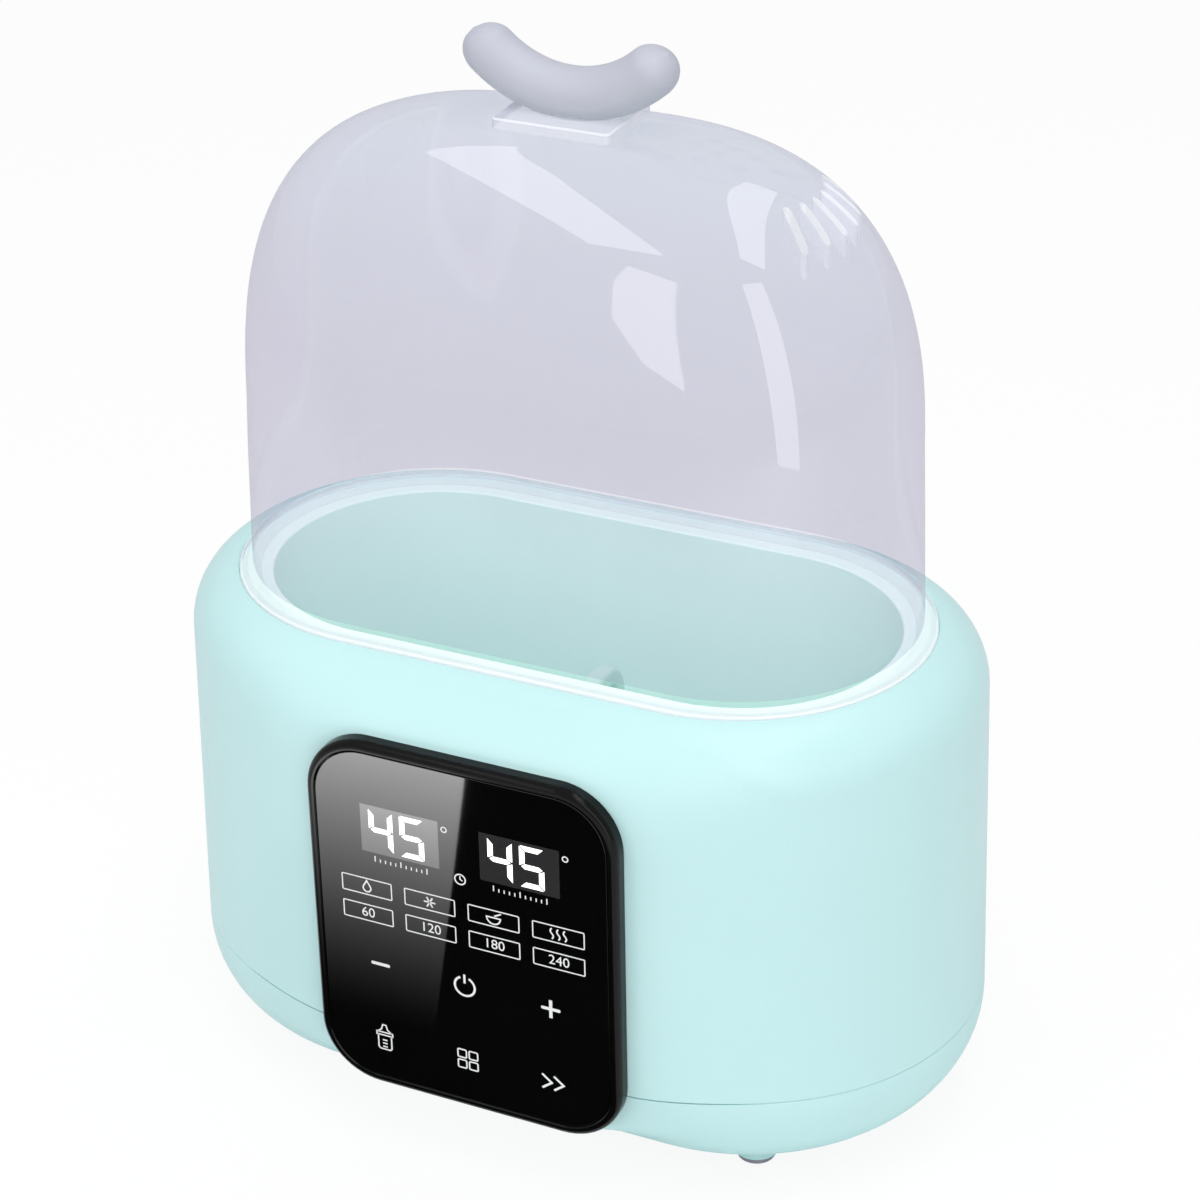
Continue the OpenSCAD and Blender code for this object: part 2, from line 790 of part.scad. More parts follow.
// Wires from the cord gland down to the terminals
module mains_leads() {
  gland_in = gland_end_y - wire_r;
  low = board_top + terminal_h / 2;
  fall = (gland_z - low) / mains_route[len(mains_route) - 1][1];
  color("#7a4a32")
    for (s = [-1, 1]) {
      x = 1.5 * s * wire_r;
      wire(concat([for (p = mains_route) [x, gland_in - p[0], gland_z - fall * p[1]]],
        [[x, terminal_y + terminal_w / 2, low]]), wire_r);
    }
}

// Flat cable from the display board through the wall and down to the main board
module ribbon_cable() {
  run = [[-display_y, cable_z], [-body_half(cable_z) + 2 * wall, cable_z],
    [-body_half(cable_z) + 4 * wall, cable_z - 2 * wall], [-body_half(z_seam) + 5 * wall, z_seam],
    [-board_w / 2 - 4 * wall, board_top + 4 * wall], [-board_w / 2 + wall, board_top + ribbon_t / 2]];
  last = len(run) - 1;
  lean = [for (i = [0:last]) let (d = run[min(i + 1, last)] - run[max(i - 1, 0)]) [-d[1], d[0]] / norm(d)];
  half = ribbon_t / 2;
  section = concat([for (i = [0:last]) run[i] + half * lean[i]],
    [for (i = [last:-1:0]) run[i] - half * lean[i]]);
  color("#9aa0a8")
    translate([-ribbon_w / 2, 0, 0])
      rotate([90, 0, 90])
        linear_extrude(ribbon_w)
          polygon(section);
}

// Bushing in the rear wall that grips the mains cord
module cord_gland() {
  collar_y = gland_seat_y + gland_nose / 3;
  nose_y = gland_seat_y + gland_nose;
  section = [[gland_bore_r, gland_end_y], [gland_collar_r, gland_end_y],
    [gland_collar_r, gland_lock_y], [gland_neck_r, gland_lock_y],
    [gland_neck_r, gland_seat_y], [gland_collar_r, gland_seat_y],
    [gland_collar_r, collar_y], [gland_neck_r, collar_y],
    [gland_neck_r - gland_wall / 3, nose_y], [gland_bore_r, nose_y]];
  color("#e9eef0")
    translate([0, 0, gland_z])
      rotate([-90, 0, 0])
        rotate_extrude()
          polygon(section);
}

// Dark frame on the raised seat, with a tub behind it that holds the board and the lens
module control_bezel() {
  pocket_w = lens_w - 2 * pocket_rim;
  pocket_h = lens_h - 2 * pocket_rim;
  color("#15161a")
    difference() {
      union() {
        front_plate(panel_w, panel_h, panel_corner, frame_y, panel_y, panel_mid_z);
        front_plate(lens_w, lens_h, lens_corner, wall_max - pan_r, frame_y + seat_gap, panel_mid_z);
      }
      front_skin(seat_gap);
      front_plate(pocket_w, pocket_h, lens_corner - pocket_rim, tray_y, panel_y + wall, panel_mid_z);
      front_plate(lens_w, lens_h, lens_corner, lens_back_y, panel_y + wall, panel_mid_z);
      block(ribbon_w + wall, panel_y, cable_slot_h, [0, -panel_y, cable_z - cable_slot_h / 2]);
      bezel_screw_places()
        cylinder(r = shank_r + screw_gap, h = tray_y - bezel_back / 4);
    }
}

// Dark glossy front of the panel
module control_lens() {
  color("#0b0c0f")
    front_plate(lens_w - 2 * seat_gap, lens_h - 2 * seat_gap, lens_corner - seat_gap,
      lens_back_y, lens_y, panel_mid_z);
}

// Screws from inside the housing into the bezel's back
module bezel_screws() {
  color("#b9bcc0")
    for (sx = [-1, 1], z = bezel_screw_z)
      translate([sx * bezel_screw_x, -body_half(z) + wall + seat_gap, z])
        rotate([90, 0, 0])
          screw(wall + bite);
}

// Touch and display board behind the lens
module display_board() {
  color("#2f6b46")
    front_plate(lens_w - 2 * pocket_rim - 4 * seat_gap, lens_h - 2 * pocket_rim - 4 * seat_gap,
      lens_corner - pocket_rim, display_y, display_front_y, panel_mid_z);
}

// Two-digit display module
module digit_display(side) {
  color("#d9dbe0")
    translate([side * digit_x, 0, 0])
      front_plate(digit_w, digit_h, 1, display_front_y, lens_back_y - seat_gap, digit_z);
}

module digit_display_left() {
  digit_display(-1);
}

module digit_display_right() {
  digit_display(1);
}

// Conductive foam columns between the board and the lens, one behind each touch key
module touch_pads() {
  small_x = [for (i = [-1.5:1:1.5]) i * key_step];
  wide_x = [for (i = [-1:1]) i * wide_key_step];
  places = concat([for (row = small_key_rows, x = small_x) [x, row]],
    [for (row = wide_key_rows, x = wide_x) [x, row]]);
  color("#404349")
    for (p = places)
      translate([p[0], -display_front_y, panel_mid_z + p[1] * panel_h])
        rotate([90, 0, 0])
          cylinder(r = key_r, h = lens_back_y - display_front_y, $fn = 32);
}

// Half the lid's length at a height above its flange
function lid_half_l(h) =
  let (s = max(0, (h - end_curve_h) / (lid_h - end_curve_h)))
  tank_spacing / 2 + lid_base_r - lid_lean * min(1, h / end_curve_h)
  - end_inset * (1 - pow(1 - pow(s, end_fullness), 1 / end_fullness));

// Half the lid's width at a height above its flange
function lid_half_w(h) =
  let (s = max(0, (h - side_curve_h) / (lid_h - side_curve_h)))
  lid_base_r - lid_lean * min(1, h / end_curve_h)
  - side_inset * (1 - pow(1 - pow(s, side_fullness), 1 / side_fullness));

// Oval ring of points with half length a and half width b
function oval(a, b, z, n) = [for (s = [1, -1], i = [0:n])
  let (t = 90 * (1 - s) - 90 + 180 * i / n) [s * (a - b) + b * cos(t), b * sin(t), z]];

// Domed lid: rings of points run up the outside and down the inside
module lid_shell() {
  steps = 13;
  n = 15;
  per = 2 * (n + 1);
  hs = [for (i = [0:steps]) lid_h * sin(90 * i / steps)];
  inner_scale = (lid_h - crown_t) / lid_h;
  outer = concat(
    oval(tank_spacing / 2 + flange_r, flange_r, z_rim, n),
    oval(tank_spacing / 2 + flange_r, flange_r, z_flange, n),
    [for (h = hs) each oval(lid_half_l(h), lid_half_w(h), z_flange + h, n)]);
  inner = concat(
    [for (i = [steps:-1:0]) let (h = hs[i])
      each oval(lid_half_l(h) - lid_t, lid_half_w(h) - lid_t, z_flange + inner_scale * h, n)],
    oval(tank_spacing / 2 + lid_base_r - lid_t, lid_base_r - lid_t, z_rim, n));
  out_rings = steps + 3;
  in_rings = steps + 2;
  all_rings = out_rings + in_rings;
  faces = [for (i = [0:all_rings - 1]) if (i != out_rings - 1)
    let (j = (i + 1) % all_rings) for (k = [0:per - 1]) let (m = (k + 1) % per)
      each [[i * per + k, j * per + m, i * per + m], [i * per + k, j * per + k, j * per + m]]];
  caps = [[for (k = [per - 1:-1:0]) (out_rings - 1) * per + k], [for (k = [0:per - 1]) out_rings * per + k]];
  polyhedron(concat(outer, inner), concat(faces, caps));
}

// Middle stretch of the curved bar, round in section
module bar_arc(r, sides) {
  translate([0, 0, bar_z + bar_curve])
    rotate([90, 0, 0])
      rotate(-90 - bar_span)
        rotate_extrude(angle = 2 * bar_span)
          translate([bar_curve, 0])
            circle(r = r, $fn = sides);
}

// Raised seat of the handle on the lid's crown
module saddle() {
  root = crown_t / 3;
  translate([0, 0, crown_z - root])
    linear_extrude(saddle_up + root)
      polygon(round_rect(saddle_l, saddle_w, saddle_corner, 3));
}

// Lid with the cradle for its handle, the steam slots and the peg holes
module lid() {
  color("#cbcdd9", 0.6)
    difference() {
      union() {
        lid_shell();
        saddle();
      }
      bar_arc(bar_r + seat_gap, 36, $fn = 72);
      for (i = [0:vent_count - 1])
        translate([vent_fan_x, 0, z_flange + lid_h / 2])
          rotate(vent_step * (i - (vent_count - 1) / 2))
            translate([vent_reach, -vent_w / 2, 0])
              cube([vent_l, vent_w, lid_h / 2]);
      for (s = [-1, 1])
        translate([s * peg_x, 0, crown_z - 2 * crown_t])
          cylinder(r = peg_r + seat_gap, h = 2 * crown_t + saddle_up, $fn = 48);
    }
}

// Rounded end of the bar, with a plug that runs back into the bar
module bar_end() {
  plug_r = 0.8 * bar_r;
  cap_r = bar_r - seat_gap / 3;
  tip = 84;
  rotate_extrude()
    polygon(concat([[0, -plug_r], [plug_r, -plug_r], [plug_r, 0]], arc(0, 0, cap_r, 0, tip, 7),
      [[0, cap_r * sin(tip)]]));
}

// Curved bar in its cradle, with two staked pegs through the crown
module lid_handle() {
  peg_low = crown_z - crown_t - stake_h;
  color("#c8cad7")
    union() {
      bar_arc(bar_r, 48);
      for (s = [-1, 1]) {
        translate([0, 0, bar_z + bar_curve])
          rotate([90, 0, 0])
            rotate(-90 + s * bar_span)
              translate([bar_curve, 0, 0])
                rotate([-90 * s, 0, 0])
                  bar_end();
        translate([s * peg_x, 0, peg_low]) {
          cylinder(r = peg_r, h = bar_z - peg_low, $fn = 48);
          cylinder(r = 1.5 * peg_r, h = stake_h, $fn = 48);
        }
      }
    }
}

// Lift-out perforated tray that keeps two bottles off the heating plate
module bottle_tray() {
  tray_r = tank_r - tray_gap;
  tray_z = z_floor + tray_lift;
  leg_line = opening_r + leg_r + tray_gap;
  ring_step = 4.2 * drain_r;
  color("#dfeeee")
    difference() {
      union() {
        oval_ring(0, tray_r, tray_z, tray_z + tray_t);
        corners(tank_spacing / 2, leg_line)
          translate([0, 0, z_floor])
            cylinder(r = leg_r, h = tray_lift + tray_t / 2, $fn = 48);
        translate([-loop_t / 2, 0, tray_z + tray_t / 2])
          rotate([90, 0, 90])
            linear_extrude(loop_t)
              difference() {
                polygon(round_rect(loop_w, 2 * loop_h, loop_w / 4));
                polygon(round_rect(loop_w - 2 * loop_t, 2 * (loop_h - loop_t), loop_w / 4 - loop_t));
                translate([-loop_w, -loop_h])
                  square([2 * loop_w, loop_h]);
              }
      }
      for (s = [-1, 1], ring = [0:2], k = [0:max(1, 6 * ring) - 1])
        translate([s * bottle_x, 0, tray_z - tray_t])
          rotate(60 * k / max(1, ring))
            translate([ring * ring_step, 0, 0])
              cylinder(r = drain_r, h = 3 * tray_t, $fn = 32);
    }
}

main_housing();
base_cover();
rubber_feet();
base_screws();
tank_liner();
tank_seal();
heating_plate();
heating_element();
heater_clamp();
heater_screws();
thermostat();
thermal_fuse();
ntc_sensor();
power_board();
board_screws();
relay();
transformer();
filter_capacitor();
terminal_block();
buzzer();
heater_leads();
mains_leads();
ribbon_cable();
cord_gland();
control_bezel();
control_lens();
bezel_screws();
display_board();
digit_display_left();
digit_display_right();
touch_pads();
lid();
lid_handle();
bottle_tray();
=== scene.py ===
"""Visible pieces, finishes and studio of a double bottle warmer.

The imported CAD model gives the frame: pieces made here stand in for its solids,
ride on its bodies and keep inside its box. Lengths are in metres, +Z is up and
the control panel faces -Y.
"""

import math

import bmesh
import bpy
from bpy.props import FloatProperty, FloatVectorProperty, IntProperty, PointerProperty
from mathutils import Matrix, Vector


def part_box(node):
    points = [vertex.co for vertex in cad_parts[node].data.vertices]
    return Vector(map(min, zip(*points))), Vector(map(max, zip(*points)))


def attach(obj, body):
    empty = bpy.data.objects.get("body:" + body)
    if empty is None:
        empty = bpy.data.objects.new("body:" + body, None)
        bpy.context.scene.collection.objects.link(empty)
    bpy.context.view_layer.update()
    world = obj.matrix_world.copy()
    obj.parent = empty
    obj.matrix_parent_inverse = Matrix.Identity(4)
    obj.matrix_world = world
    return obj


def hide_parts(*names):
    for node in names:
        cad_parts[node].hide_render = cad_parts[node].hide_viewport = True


bl_info = {
    "name": "Double bottle warmer",
    "version": (1, 0, 0),
    "blender": (4, 5, 0),
    "location": "3D View > Sidebar > Warmer",
    "description": "Builds the visible pieces, finishes and studio of a double bottle warmer",
    "category": "Object",
}

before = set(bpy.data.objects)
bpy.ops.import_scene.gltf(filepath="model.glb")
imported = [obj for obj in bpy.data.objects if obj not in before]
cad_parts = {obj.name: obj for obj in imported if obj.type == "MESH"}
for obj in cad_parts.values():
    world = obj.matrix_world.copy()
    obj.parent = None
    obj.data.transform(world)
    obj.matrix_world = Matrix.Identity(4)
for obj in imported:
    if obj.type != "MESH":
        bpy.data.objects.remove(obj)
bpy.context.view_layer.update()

MM = 0.001
QUARTER = math.pi / 2
WHITE = (1, 1, 1, 1)
# Steps round each end of an oval, round each corner of the panel and round a rounded edge
END_STEPS = 48
CORNER_STEPS = 14
EDGE_STEPS = 4
# Steps round a quarter of the lid, and rows up its wall
DOME_STEPS = 30
DOME_ROWS = 72
# Points closer than this become one, and faces thinner than that are dropped
SAME_POINT = 1e-6
NO_WIDTH = 1e-7
# Edges up to this angle, in degrees, are shaded smooth
CREASE = 35
# How the swelling round the panel falls off
SWELL_POWER = 1.5
# Heights between which the lid's tint darkens towards its foot, as painted shade
FOOT_SHADE_HIGH, FOOT_SHADE_LOW = 0.262, 0.215
# The lid's milkiest colour, partly a painted highlight on its rounded edges and slot walls, and
# what it lets through of the light that falls on the tank
MILK_AND_HIGHLIGHT = (0.95, 0.95, 0.97, 1)
CLEAR = (0.98, 0.98, 0.985, 1)
# Clear walls that light may pass one after another, so that the lid's far rim is lit
CLEAR_WALLS = 32
# Times that light may bounce between the tank's pale walls
TANK_BOUNCES = 12

housing_low, housing_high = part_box("main_housing")
tank_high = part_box("tank_liner")[1]
lid_low, lid_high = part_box("lid")
handle_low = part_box("lid_handle")[0]
bezel_low, bezel_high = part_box("control_bezel")
lens_low, lens_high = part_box("control_lens")
tray_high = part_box("bottle_tray")[1]
feet_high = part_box("rubber_feet")[1]
gland_low, gland_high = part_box("cord_gland")
window_low, window_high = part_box("digit_display_left")
panel_z = (bezel_low.z + bezel_high.z) / 2


def length(name, description, value):
    """A size or height in metres that a user may change."""
    return FloatProperty(
        name=name, description=description, default=value, min=0, precision=4,
        unit="LENGTH", subtype="DISTANCE")


def fraction(name, description, value):
    """A share between 0 and 1."""
    return FloatProperty(
        name=name, description=description, default=value, min=0, max=1, subtype="FACTOR")


def fullness(name, description, value):
    """How square a curve is."""
    return FloatProperty(name=name, description=description, default=value, min=1, max=4)


def angle_of(name, description, degrees):
    """An angle, given in degrees."""
    return FloatProperty(
        name=name, description=description, default=math.radians(degrees),
        unit="ROTATION", subtype="ANGLE")


def number_of(name, description, value, most):
    """A count of like details."""
    return IntProperty(name=name, description=description, default=value, min=1, max=most)


def shade(name, description, value):
    """A linear colour that a user may change."""
    return FloatVectorProperty(
        name=name, description=description, default=value, min=0, max=1, size=3, subtype="COLOR")


class WarmerBody(bpy.types.PropertyGroup):
    """Sizes of the housing, the base pan and the feet."""

    reach: length("End reach", "Middle of the body to the centre of each round end",
                  housing_high.x - housing_high.y)
    top_half: length("Top half width", "Half the body's width at its very top", 62.4 * MM)
    lean: length("Wall lean", "How far the wall leans out from top to bottom", 3.16 * MM)
    top_z: length("Top height", "Height that the shoulder's rounding rises to", 142 * MM)
    under_z: length("Underside height", "Height of the underside above the table", 5 * MM)
    seam_z: length("Seam height", "Height of the seam round the body", housing_low.z)
    shoulder_r: length("Shoulder rounding", "Rounding of the top shoulder", 17 * MM)
    pan_r: length("Pan rounding", "Rounding of the underside edge", 28 * MM)
    wall: length("Wall", "Thickness of the moulded wall", 2.6 * MM)
    edge: length("Edge rounding", "Rounding of the seam's two edges", 0.45 * MM)
    foot_x: length("Foot place along", "Foot position along the body", feet_high.x - 5.2 * MM)
    foot_y: length("Foot place across", "Foot position across the body", feet_high.y - 5.2 * MM)
    pad_r: length("Pad radius", "Radius of a rubber pad", 5.2 * MM)
    pad_proud: length("Pad height", "Height of a pad below its boss", 2.2 * MM)
    boss_r: length("Boss radius", "Radius of the boss round a pad", 6.5 * MM)
    screw_x: length("Screw place along", "Base screw position along the body", 34 * MM)
    screw_y: length("Screw place across", "Base screw position across the body", 39.4 * MM)
    screw_hole_r: length("Screw hole", "Radius of the hole over a base screw", 3.05 * MM)
    slot_count: number_of("Air slots", "Number of air slots under the body", 7, 12)
    slot_w: length("Air slot width", "Width of an air slot", 3 * MM)
    slot_l: length("Air slot length", "Length of an air slot", 35 * MM)
    slot_pitch: length("Air slot pitch", "Distance between neighbouring air slots", 9 * MM)


class WarmerTank(bpy.types.PropertyGroup):
    """Sizes of the water tank and the lift-out tray."""

    reach: length("End reach", "Middle of the tank to the centre of each round end",
                  tank_high.x - tank_high.y)
    inner_r: length("Inside radius", "Inside radius of the tank's round ends", 42 * MM)
    wall: length("Wall", "Thickness of the tank's wall", 2 * MM)
    rim_r: length("Rim radius", "Outside radius of the rim", tank_high.y)
    rim_z: length("Rim height", "Height of the rim's top", tank_high.z)
    rim_t: length("Rim thickness", "Thickness of the rim", 2.5 * MM)
    recess_r: length("Recess radius", "Radius of the recess that takes the rim",
                     lid_high.y + 0.2 * MM)
    mouth_r: length("Mouth radius", "Radius of the housing's mouth under the rim", 44.2 * MM)
    ledge_z: length("Ledge height", "Height of the underside of the housing's ledge", 134 * MM)
    floor_z: length("Floor height", "Height of the tank's floor", 55 * MM)
    floor_t: length("Floor thickness", "Thickness of the tank's floor", 2.4 * MM)
    fillet: length("Fillet", "Rounding between wall and floor", 6 * MM)
    opening_r: length("Opening radius", "Radius of the opening over the heating plate", 28 * MM)
    tray_r: length("Tray radius", "Radius of the tray's round ends", tray_high.y)
    tray_z: length("Tray height", "Height of the tray's underside", 63 * MM)
    tray_t: length("Tray thickness", "Thickness of the tray", 2.2 * MM)
    leg_r: length("Leg radius", "Radius of the tray's legs", 2.5 * MM)
    leg_y: length("Leg place across", "Distance of the legs from the middle plane", 31.5 * MM)
    bottle_x: length("Bottle place", "Middle of the tray to the middle of a bottle", 43.6 * MM)
    drain_r: length("Drain radius", "Radius of a drain hole", 3.2 * MM)
    drain_step: length("Drain step", "Distance between rings of drain holes", 13.44 * MM)
    loop_w: length("Loop width", "Width of the tray's lifting loop", 42 * MM)
    loop_t: length("Loop thickness", "Thickness of the lifting loop", 5 * MM)


class WarmerLid(bpy.types.PropertyGroup):
    """Sizes of the lid and its handle."""

    base_r: length("Wall radius", "Outside radius of the lid's wall at its foot", 47.5 * MM)
    flange_r: length("Flange radius", "Outside radius of the flange", lid_high.y)
    flange_z: length("Flange height", "Height of the flange's top", lid_low.z + 2.2 * MM)
    rise: length("Rise", "Height of the crown above the flange", 129.5 * MM)
    wall: length("Wall", "Thickness of the lid's wall", 2.2 * MM)
    crown_t: length("Crown thickness", "Thickness of the crown", 3.8 * MM)
    lean: length("Lean", "Inward lean of the wall", 1.4 * MM)
    end_start: length("End curve start", "Height at which the ends start to curve in", 50 * MM)
    end_inset: length("End inset", "How far the ends curve in", 70.3 * MM)
    end_fullness: fullness("End fullness", "Fullness of the ends' curve", 2.64)
    side_start: length("Side curve start", "Height at which the sides start to curve in",
                       30.4 * MM)
    side_inset: length("Side inset", "How far the sides curve in", 32.9 * MM)
    side_fullness: fullness("Side fullness", "Fullness of the sides' curve", 1.51)
    vent_count: number_of("Steam slots", "Number of steam slots", 6, 9)
    vent_w: length("Slot width", "Width of a steam slot", 2.2 * MM)
    vent_l: length("Slot length", "Length of a steam slot seen from above", 9.5 * MM)
    vent_fan: length("Fan point", "Middle of the lid to the point that the slots fan out from",
                     45 * MM)
    vent_reach: length("Slot reach", "Fan point to the inner ends of the slots", 20 * MM)
    vent_step: angle_of("Slot angle", "Angle between neighbouring slots", 14)
    # Painted highlight: the slots' walls are milky and pale, for their bright streaks
    vent_highlight_haze: fraction("Slot haze", "How milky the slots' walls are", 0.5)
    saddle_l: length("Saddle length", "Length of the raised seat under the bar", 32 * MM)
    saddle_w: length("Saddle width", "Width of the raised seat", 25.4 * MM)
    saddle_z: length("Saddle height", "Height of the seat's top", lid_high.z)
    saddle_tint: fraction("Saddle tint", "Share of the wall's tint in the saddle's faces", 1)
    saddle_haze: fraction("Saddle haze", "How milky the seat is", 0.35)
    wall_haze: fraction("Wall haze", "How milky the lid's wall is", 0.1)
    flange_tint: fraction("Flange tint", "Share of the wall's tint on the flange", 0.08)
    flange_haze: fraction("Flange haze", "How milky the flange is", 0.1)
    # Painted highlight: the rounded edges of the flange and the saddle are milkier and paler, for
    # their bright edge lines
    edge_highlight_haze: fraction("Edge haze", "How milky the flange's edge is", 0.6)
    peg_r: length("Peg radius", "Radius of the bar's two pegs", 2.4 * MM)
    peg_x: length("Peg place", "Middle of the bar to each peg", 9 * MM)
    stake_r: length("Stake radius", "Radius of the flattened ends of the pegs", 3.6 * MM)
    stake_t: length("Stake thickness", "Thickness of the flattened ends", 1 * MM)
    bar_r: length("Bar radius", "Radius of the handle's bar", 6.7 * MM)
    bar_curve: length("Bar curve", "Radius of the bar's curve", 32.7 * MM)
    bar_z: length("Bar height", "Height of the bar's middle line at its lowest", 278.45 * MM)
    bar_span: angle_of("Bar span", "Angle from the bar's middle to each end", 41.8)


class WarmerPanel(bpy.types.PropertyGroup):
    """Sizes of the control panel and of what is printed on it."""

    width: length("Panel width", "Width of the panel", bezel_high.x - bezel_low.x)
    tall: length("Panel height", "Height of the panel", bezel_high.z - bezel_low.z)
    corner: length("Panel corner", "Corner rounding of the panel", 17 * MM)
    rim: length("Rim", "Width of the rim round the lens", 2.7 * MM)
    edge: length("Edge rounding", "Rounding of the rim's outer edge", 1.9 * MM)
    depth: length("Frame depth", "Depth of the dark frame before the mint wall", 4.5 * MM)
    blend: length("Low blend", "Width of the curve below the panel", 5 * MM)
    rim_room: length("Rim room", "Height kept free below the body's top", 3 * MM)
    seam: length("Seam width", "Width of the seam beside the panel", 0.4 * MM)
    gap: length("Wall gap", "Gap between the panel's back and the wall", 0.15 * MM)
    print_t: length("Print thickness", "Thickness of the printed signs", 0.04 * MM)
    window_w: length("Window width", "Width of a digit window", window_high.x - window_low.x)
    window_h: length("Window height", "Height of a digit window", window_high.z - window_low.z)
    window_x: length("Window place", "Middle line to the middle of a window", 17 * MM)
    window_z: length("Window height above table", "Height of the windows' middle",
                     (window_low.z + window_high.z) / 2)
    digit_w: length("Digit width", "Width of a digit", 6.9 * MM)
    digit_h: length("Digit height", "Height of a digit", 12.2 * MM)
    digit_t: length("Digit stroke", "Width of a digit's lit bars", 1.5 * MM)
    key_step: length("Small key step", "Distance between neighbouring small keys", 18.3 * MM)
    key_w: length("Small key width", "Width of a small key's frame", 14.4 * MM)
    key_h: length("Small key height", "Height of a small key's frame", 4.9 * MM)
    key_top: length("Upper key row", "Height of the upper row of small keys", 84 * MM)
    key_drop: length("Key row step", "Distance between the two rows of small keys", 8.1 * MM)
    sign_step: length("Sign step", "Distance between neighbouring signs", 24.7 * MM)
    sign_top: length("Upper sign row", "Height of the upper row of signs", 60.5 * MM)
    sign_low: length("Lower sign row", "Height of the lower row of signs", 37.2 * MM)
    line: length("Line", "Width of a printed line", 0.42 * MM)


class WarmerFinish(bpy.types.PropertyGroup):
    """Colours of the finishes."""

    mint: shade("Mint", "Moulded body", (0.512, 0.755, 0.755))
    # Painted light: the tank is a paler mint than the body, to make up for the light it lacks
    # inside under the lid
    tank: shade("Tank", "Moulded tank", (0.82, 0.99, 0.955))
    smoke: shade("Smoke", "Tint of the lid's wall at its crown", (0.86, 0.872, 0.932))
    # Painted shade: the darker tint that the lid's wall takes towards its foot
    smoke_foot_shade: shade("Low smoke", "Tint of the lid's wall at its foot", (0.822, 0.804, 0.872))
    haze: shade("Haze", "Milky parts of the lid", (0.66, 0.66, 0.73))
    bar: shade("Bar", "Handle", (0.445, 0.455, 0.52))
    black: shade("Black", "Bezel and lens", (0.002, 0.002, 0.002))
    window: shade("Window", "Digit windows", (0.028, 0.028, 0.029))
    sign: shade("Sign", "Printed signs", (0.78, 0.78, 0.78))
    pad: shade("Pad", "Rubber pads", (0.29, 0.27, 0.31))
    tray: shade("Tray", "Bottle tray", (0.53, 0.74, 0.7))


class Tree:
    """A node tree that is being built."""

    def __init__(self, data):
        self.data, self.nodes, self.links = data, data.nodes, data.links

    def feed(self, node, inputs):
        """Sets inputs, by name or number, to values or to output sockets."""
        for key, value in inputs.items():
            if isinstance(value, bpy.types.NodeSocket):
                self.links.new(value, node.inputs[key])
            else:
                node.inputs[key].default_value = value

    def node(self, kind, inputs=None, **settings):
        """A new node with its settings and inputs."""
        node = self.nodes.new(kind)
        for key, value in settings.items():
            setattr(node, key, value)
        self.feed(node, inputs or {})
        return node

    def add(self, kind, inputs=None, **settings):
        """The first output of a new node."""
        return self.node(kind, inputs, **settings).outputs[0]

    def sum(self, operation, first, second=0):
        """One sum; each side is a number or an output socket."""
        return self.add("ShaderNodeMath", {0: first, 1: second}, operation=operation)

    def times(self, first, second):
        """A product."""
        return self.sum("MULTIPLY", first, second)

    def vector(self, **parts):
        """A vector from its X, Y and Z."""
        return self.add("ShaderNodeCombineXYZ", parts)

    def place(self):
        """The object's own coordinates."""
        return self.node("ShaderNodeTexCoord").outputs["Object"]

    def along(self, axis):
        """One of the object's own coordinates."""
        return self.node("ShaderNodeSeparateXYZ", {"Vector": self.place()}).outputs[axis]

    def rays(self, *kinds):
        """1 for light on a path of either of two kinds."""
        path = self.node("ShaderNodeLightPath").outputs
        return self.sum("MAXIMUM", *(path[f"Is {kind} Ray"] for kind in kinds))

    def blend(self, share, first, second):
        """A colour between two."""
        return self.node("ShaderNodeMix", {"Factor": share, "A": first, "B": second},
                         data_type="RGBA").outputs["Result"]

    def layer(self, share, first, second):
        """A shader between two."""
        return self.add("ShaderNodeMixShader", {0: share, 1: first, 2: second})

    def show(self, shader, output="Material Output"):
        """Ends a material or a world in this shader."""
        self.links.new(shader, self.nodes[output].inputs["Surface"])


# Finishes


def blank_finish(name):
    """A new material with a Principled shader; returns material, tree and shader."""
    material = bpy.data.materials.new(name)
    material.use_nodes = True
    tree = Tree(material.node_tree)
    return material, tree, tree.nodes["Principled BSDF"]


def grain(tree, scale, detail=3, stretch=(1, 1, 1)):
    """Noise on object coordinates, stretched where a finish has a direction."""
    place = tree.add("ShaderNodeMapping", {"Vector": tree.place(), "Scale": stretch})
    return tree.add("ShaderNodeTexNoise", {"Vector": place, "Scale": scale, "Detail": detail})


def spread(tree, source, low, high):
    """Maps a grain onto a range of values."""
    return tree.add("ShaderNodeMapRange", {
        "Value": source, "From Min": 0.3, "From Max": 0.7, "To Min": low, "To Max": high},
        interpolation_type="SMOOTHERSTEP")


def ramp(tree, source, stops, colours, ease="LINEAR"):
    """Goes from one colour to another while source goes from stop to stop."""
    node = tree.node("ShaderNodeValToRGB", {"Fac": source})
    node.color_ramp.interpolation = ease
    for i, (stop, colour) in enumerate(zip(stops, colours)):
        node.color_ramp.elements[i].position = stop
        node.color_ramp.elements[i].color = (*colour, 1)
    return node.outputs["Color"]


def mottle(tree, source, colour, swing):
    """A colour that drifts a little lighter and darker with a grain."""
    colours = [[min(1, c * share) for c in colour] for share in (1 - swing, 1 + swing)]
    return ramp(tree, source, (0.25, 0.75), colours, "EASE")


def dimples(tree, source, depth):
    """Fine relief from a grain; depth in metres."""
    return tree.add("ShaderNodeBump", {"Height": source, "Distance": depth, "Strength": 0.6})


def moulded(name, colour, rough, swing=0.015, relief=0.00002, scale=900):
    """Moulded plastic or rubber: drifting colour, uneven gloss and fine relief."""
    material, tree, shader = blank_finish(name)
    drift = grain(tree, 14)
    tree.feed(shader, {
        "Base Color": mottle(tree, drift, colour, swing),
        "Roughness": spread(tree, drift, rough * 0.85, rough * 1.15),
        "Normal": dimples(tree, grain(tree, scale, 2), relief)})
    return material


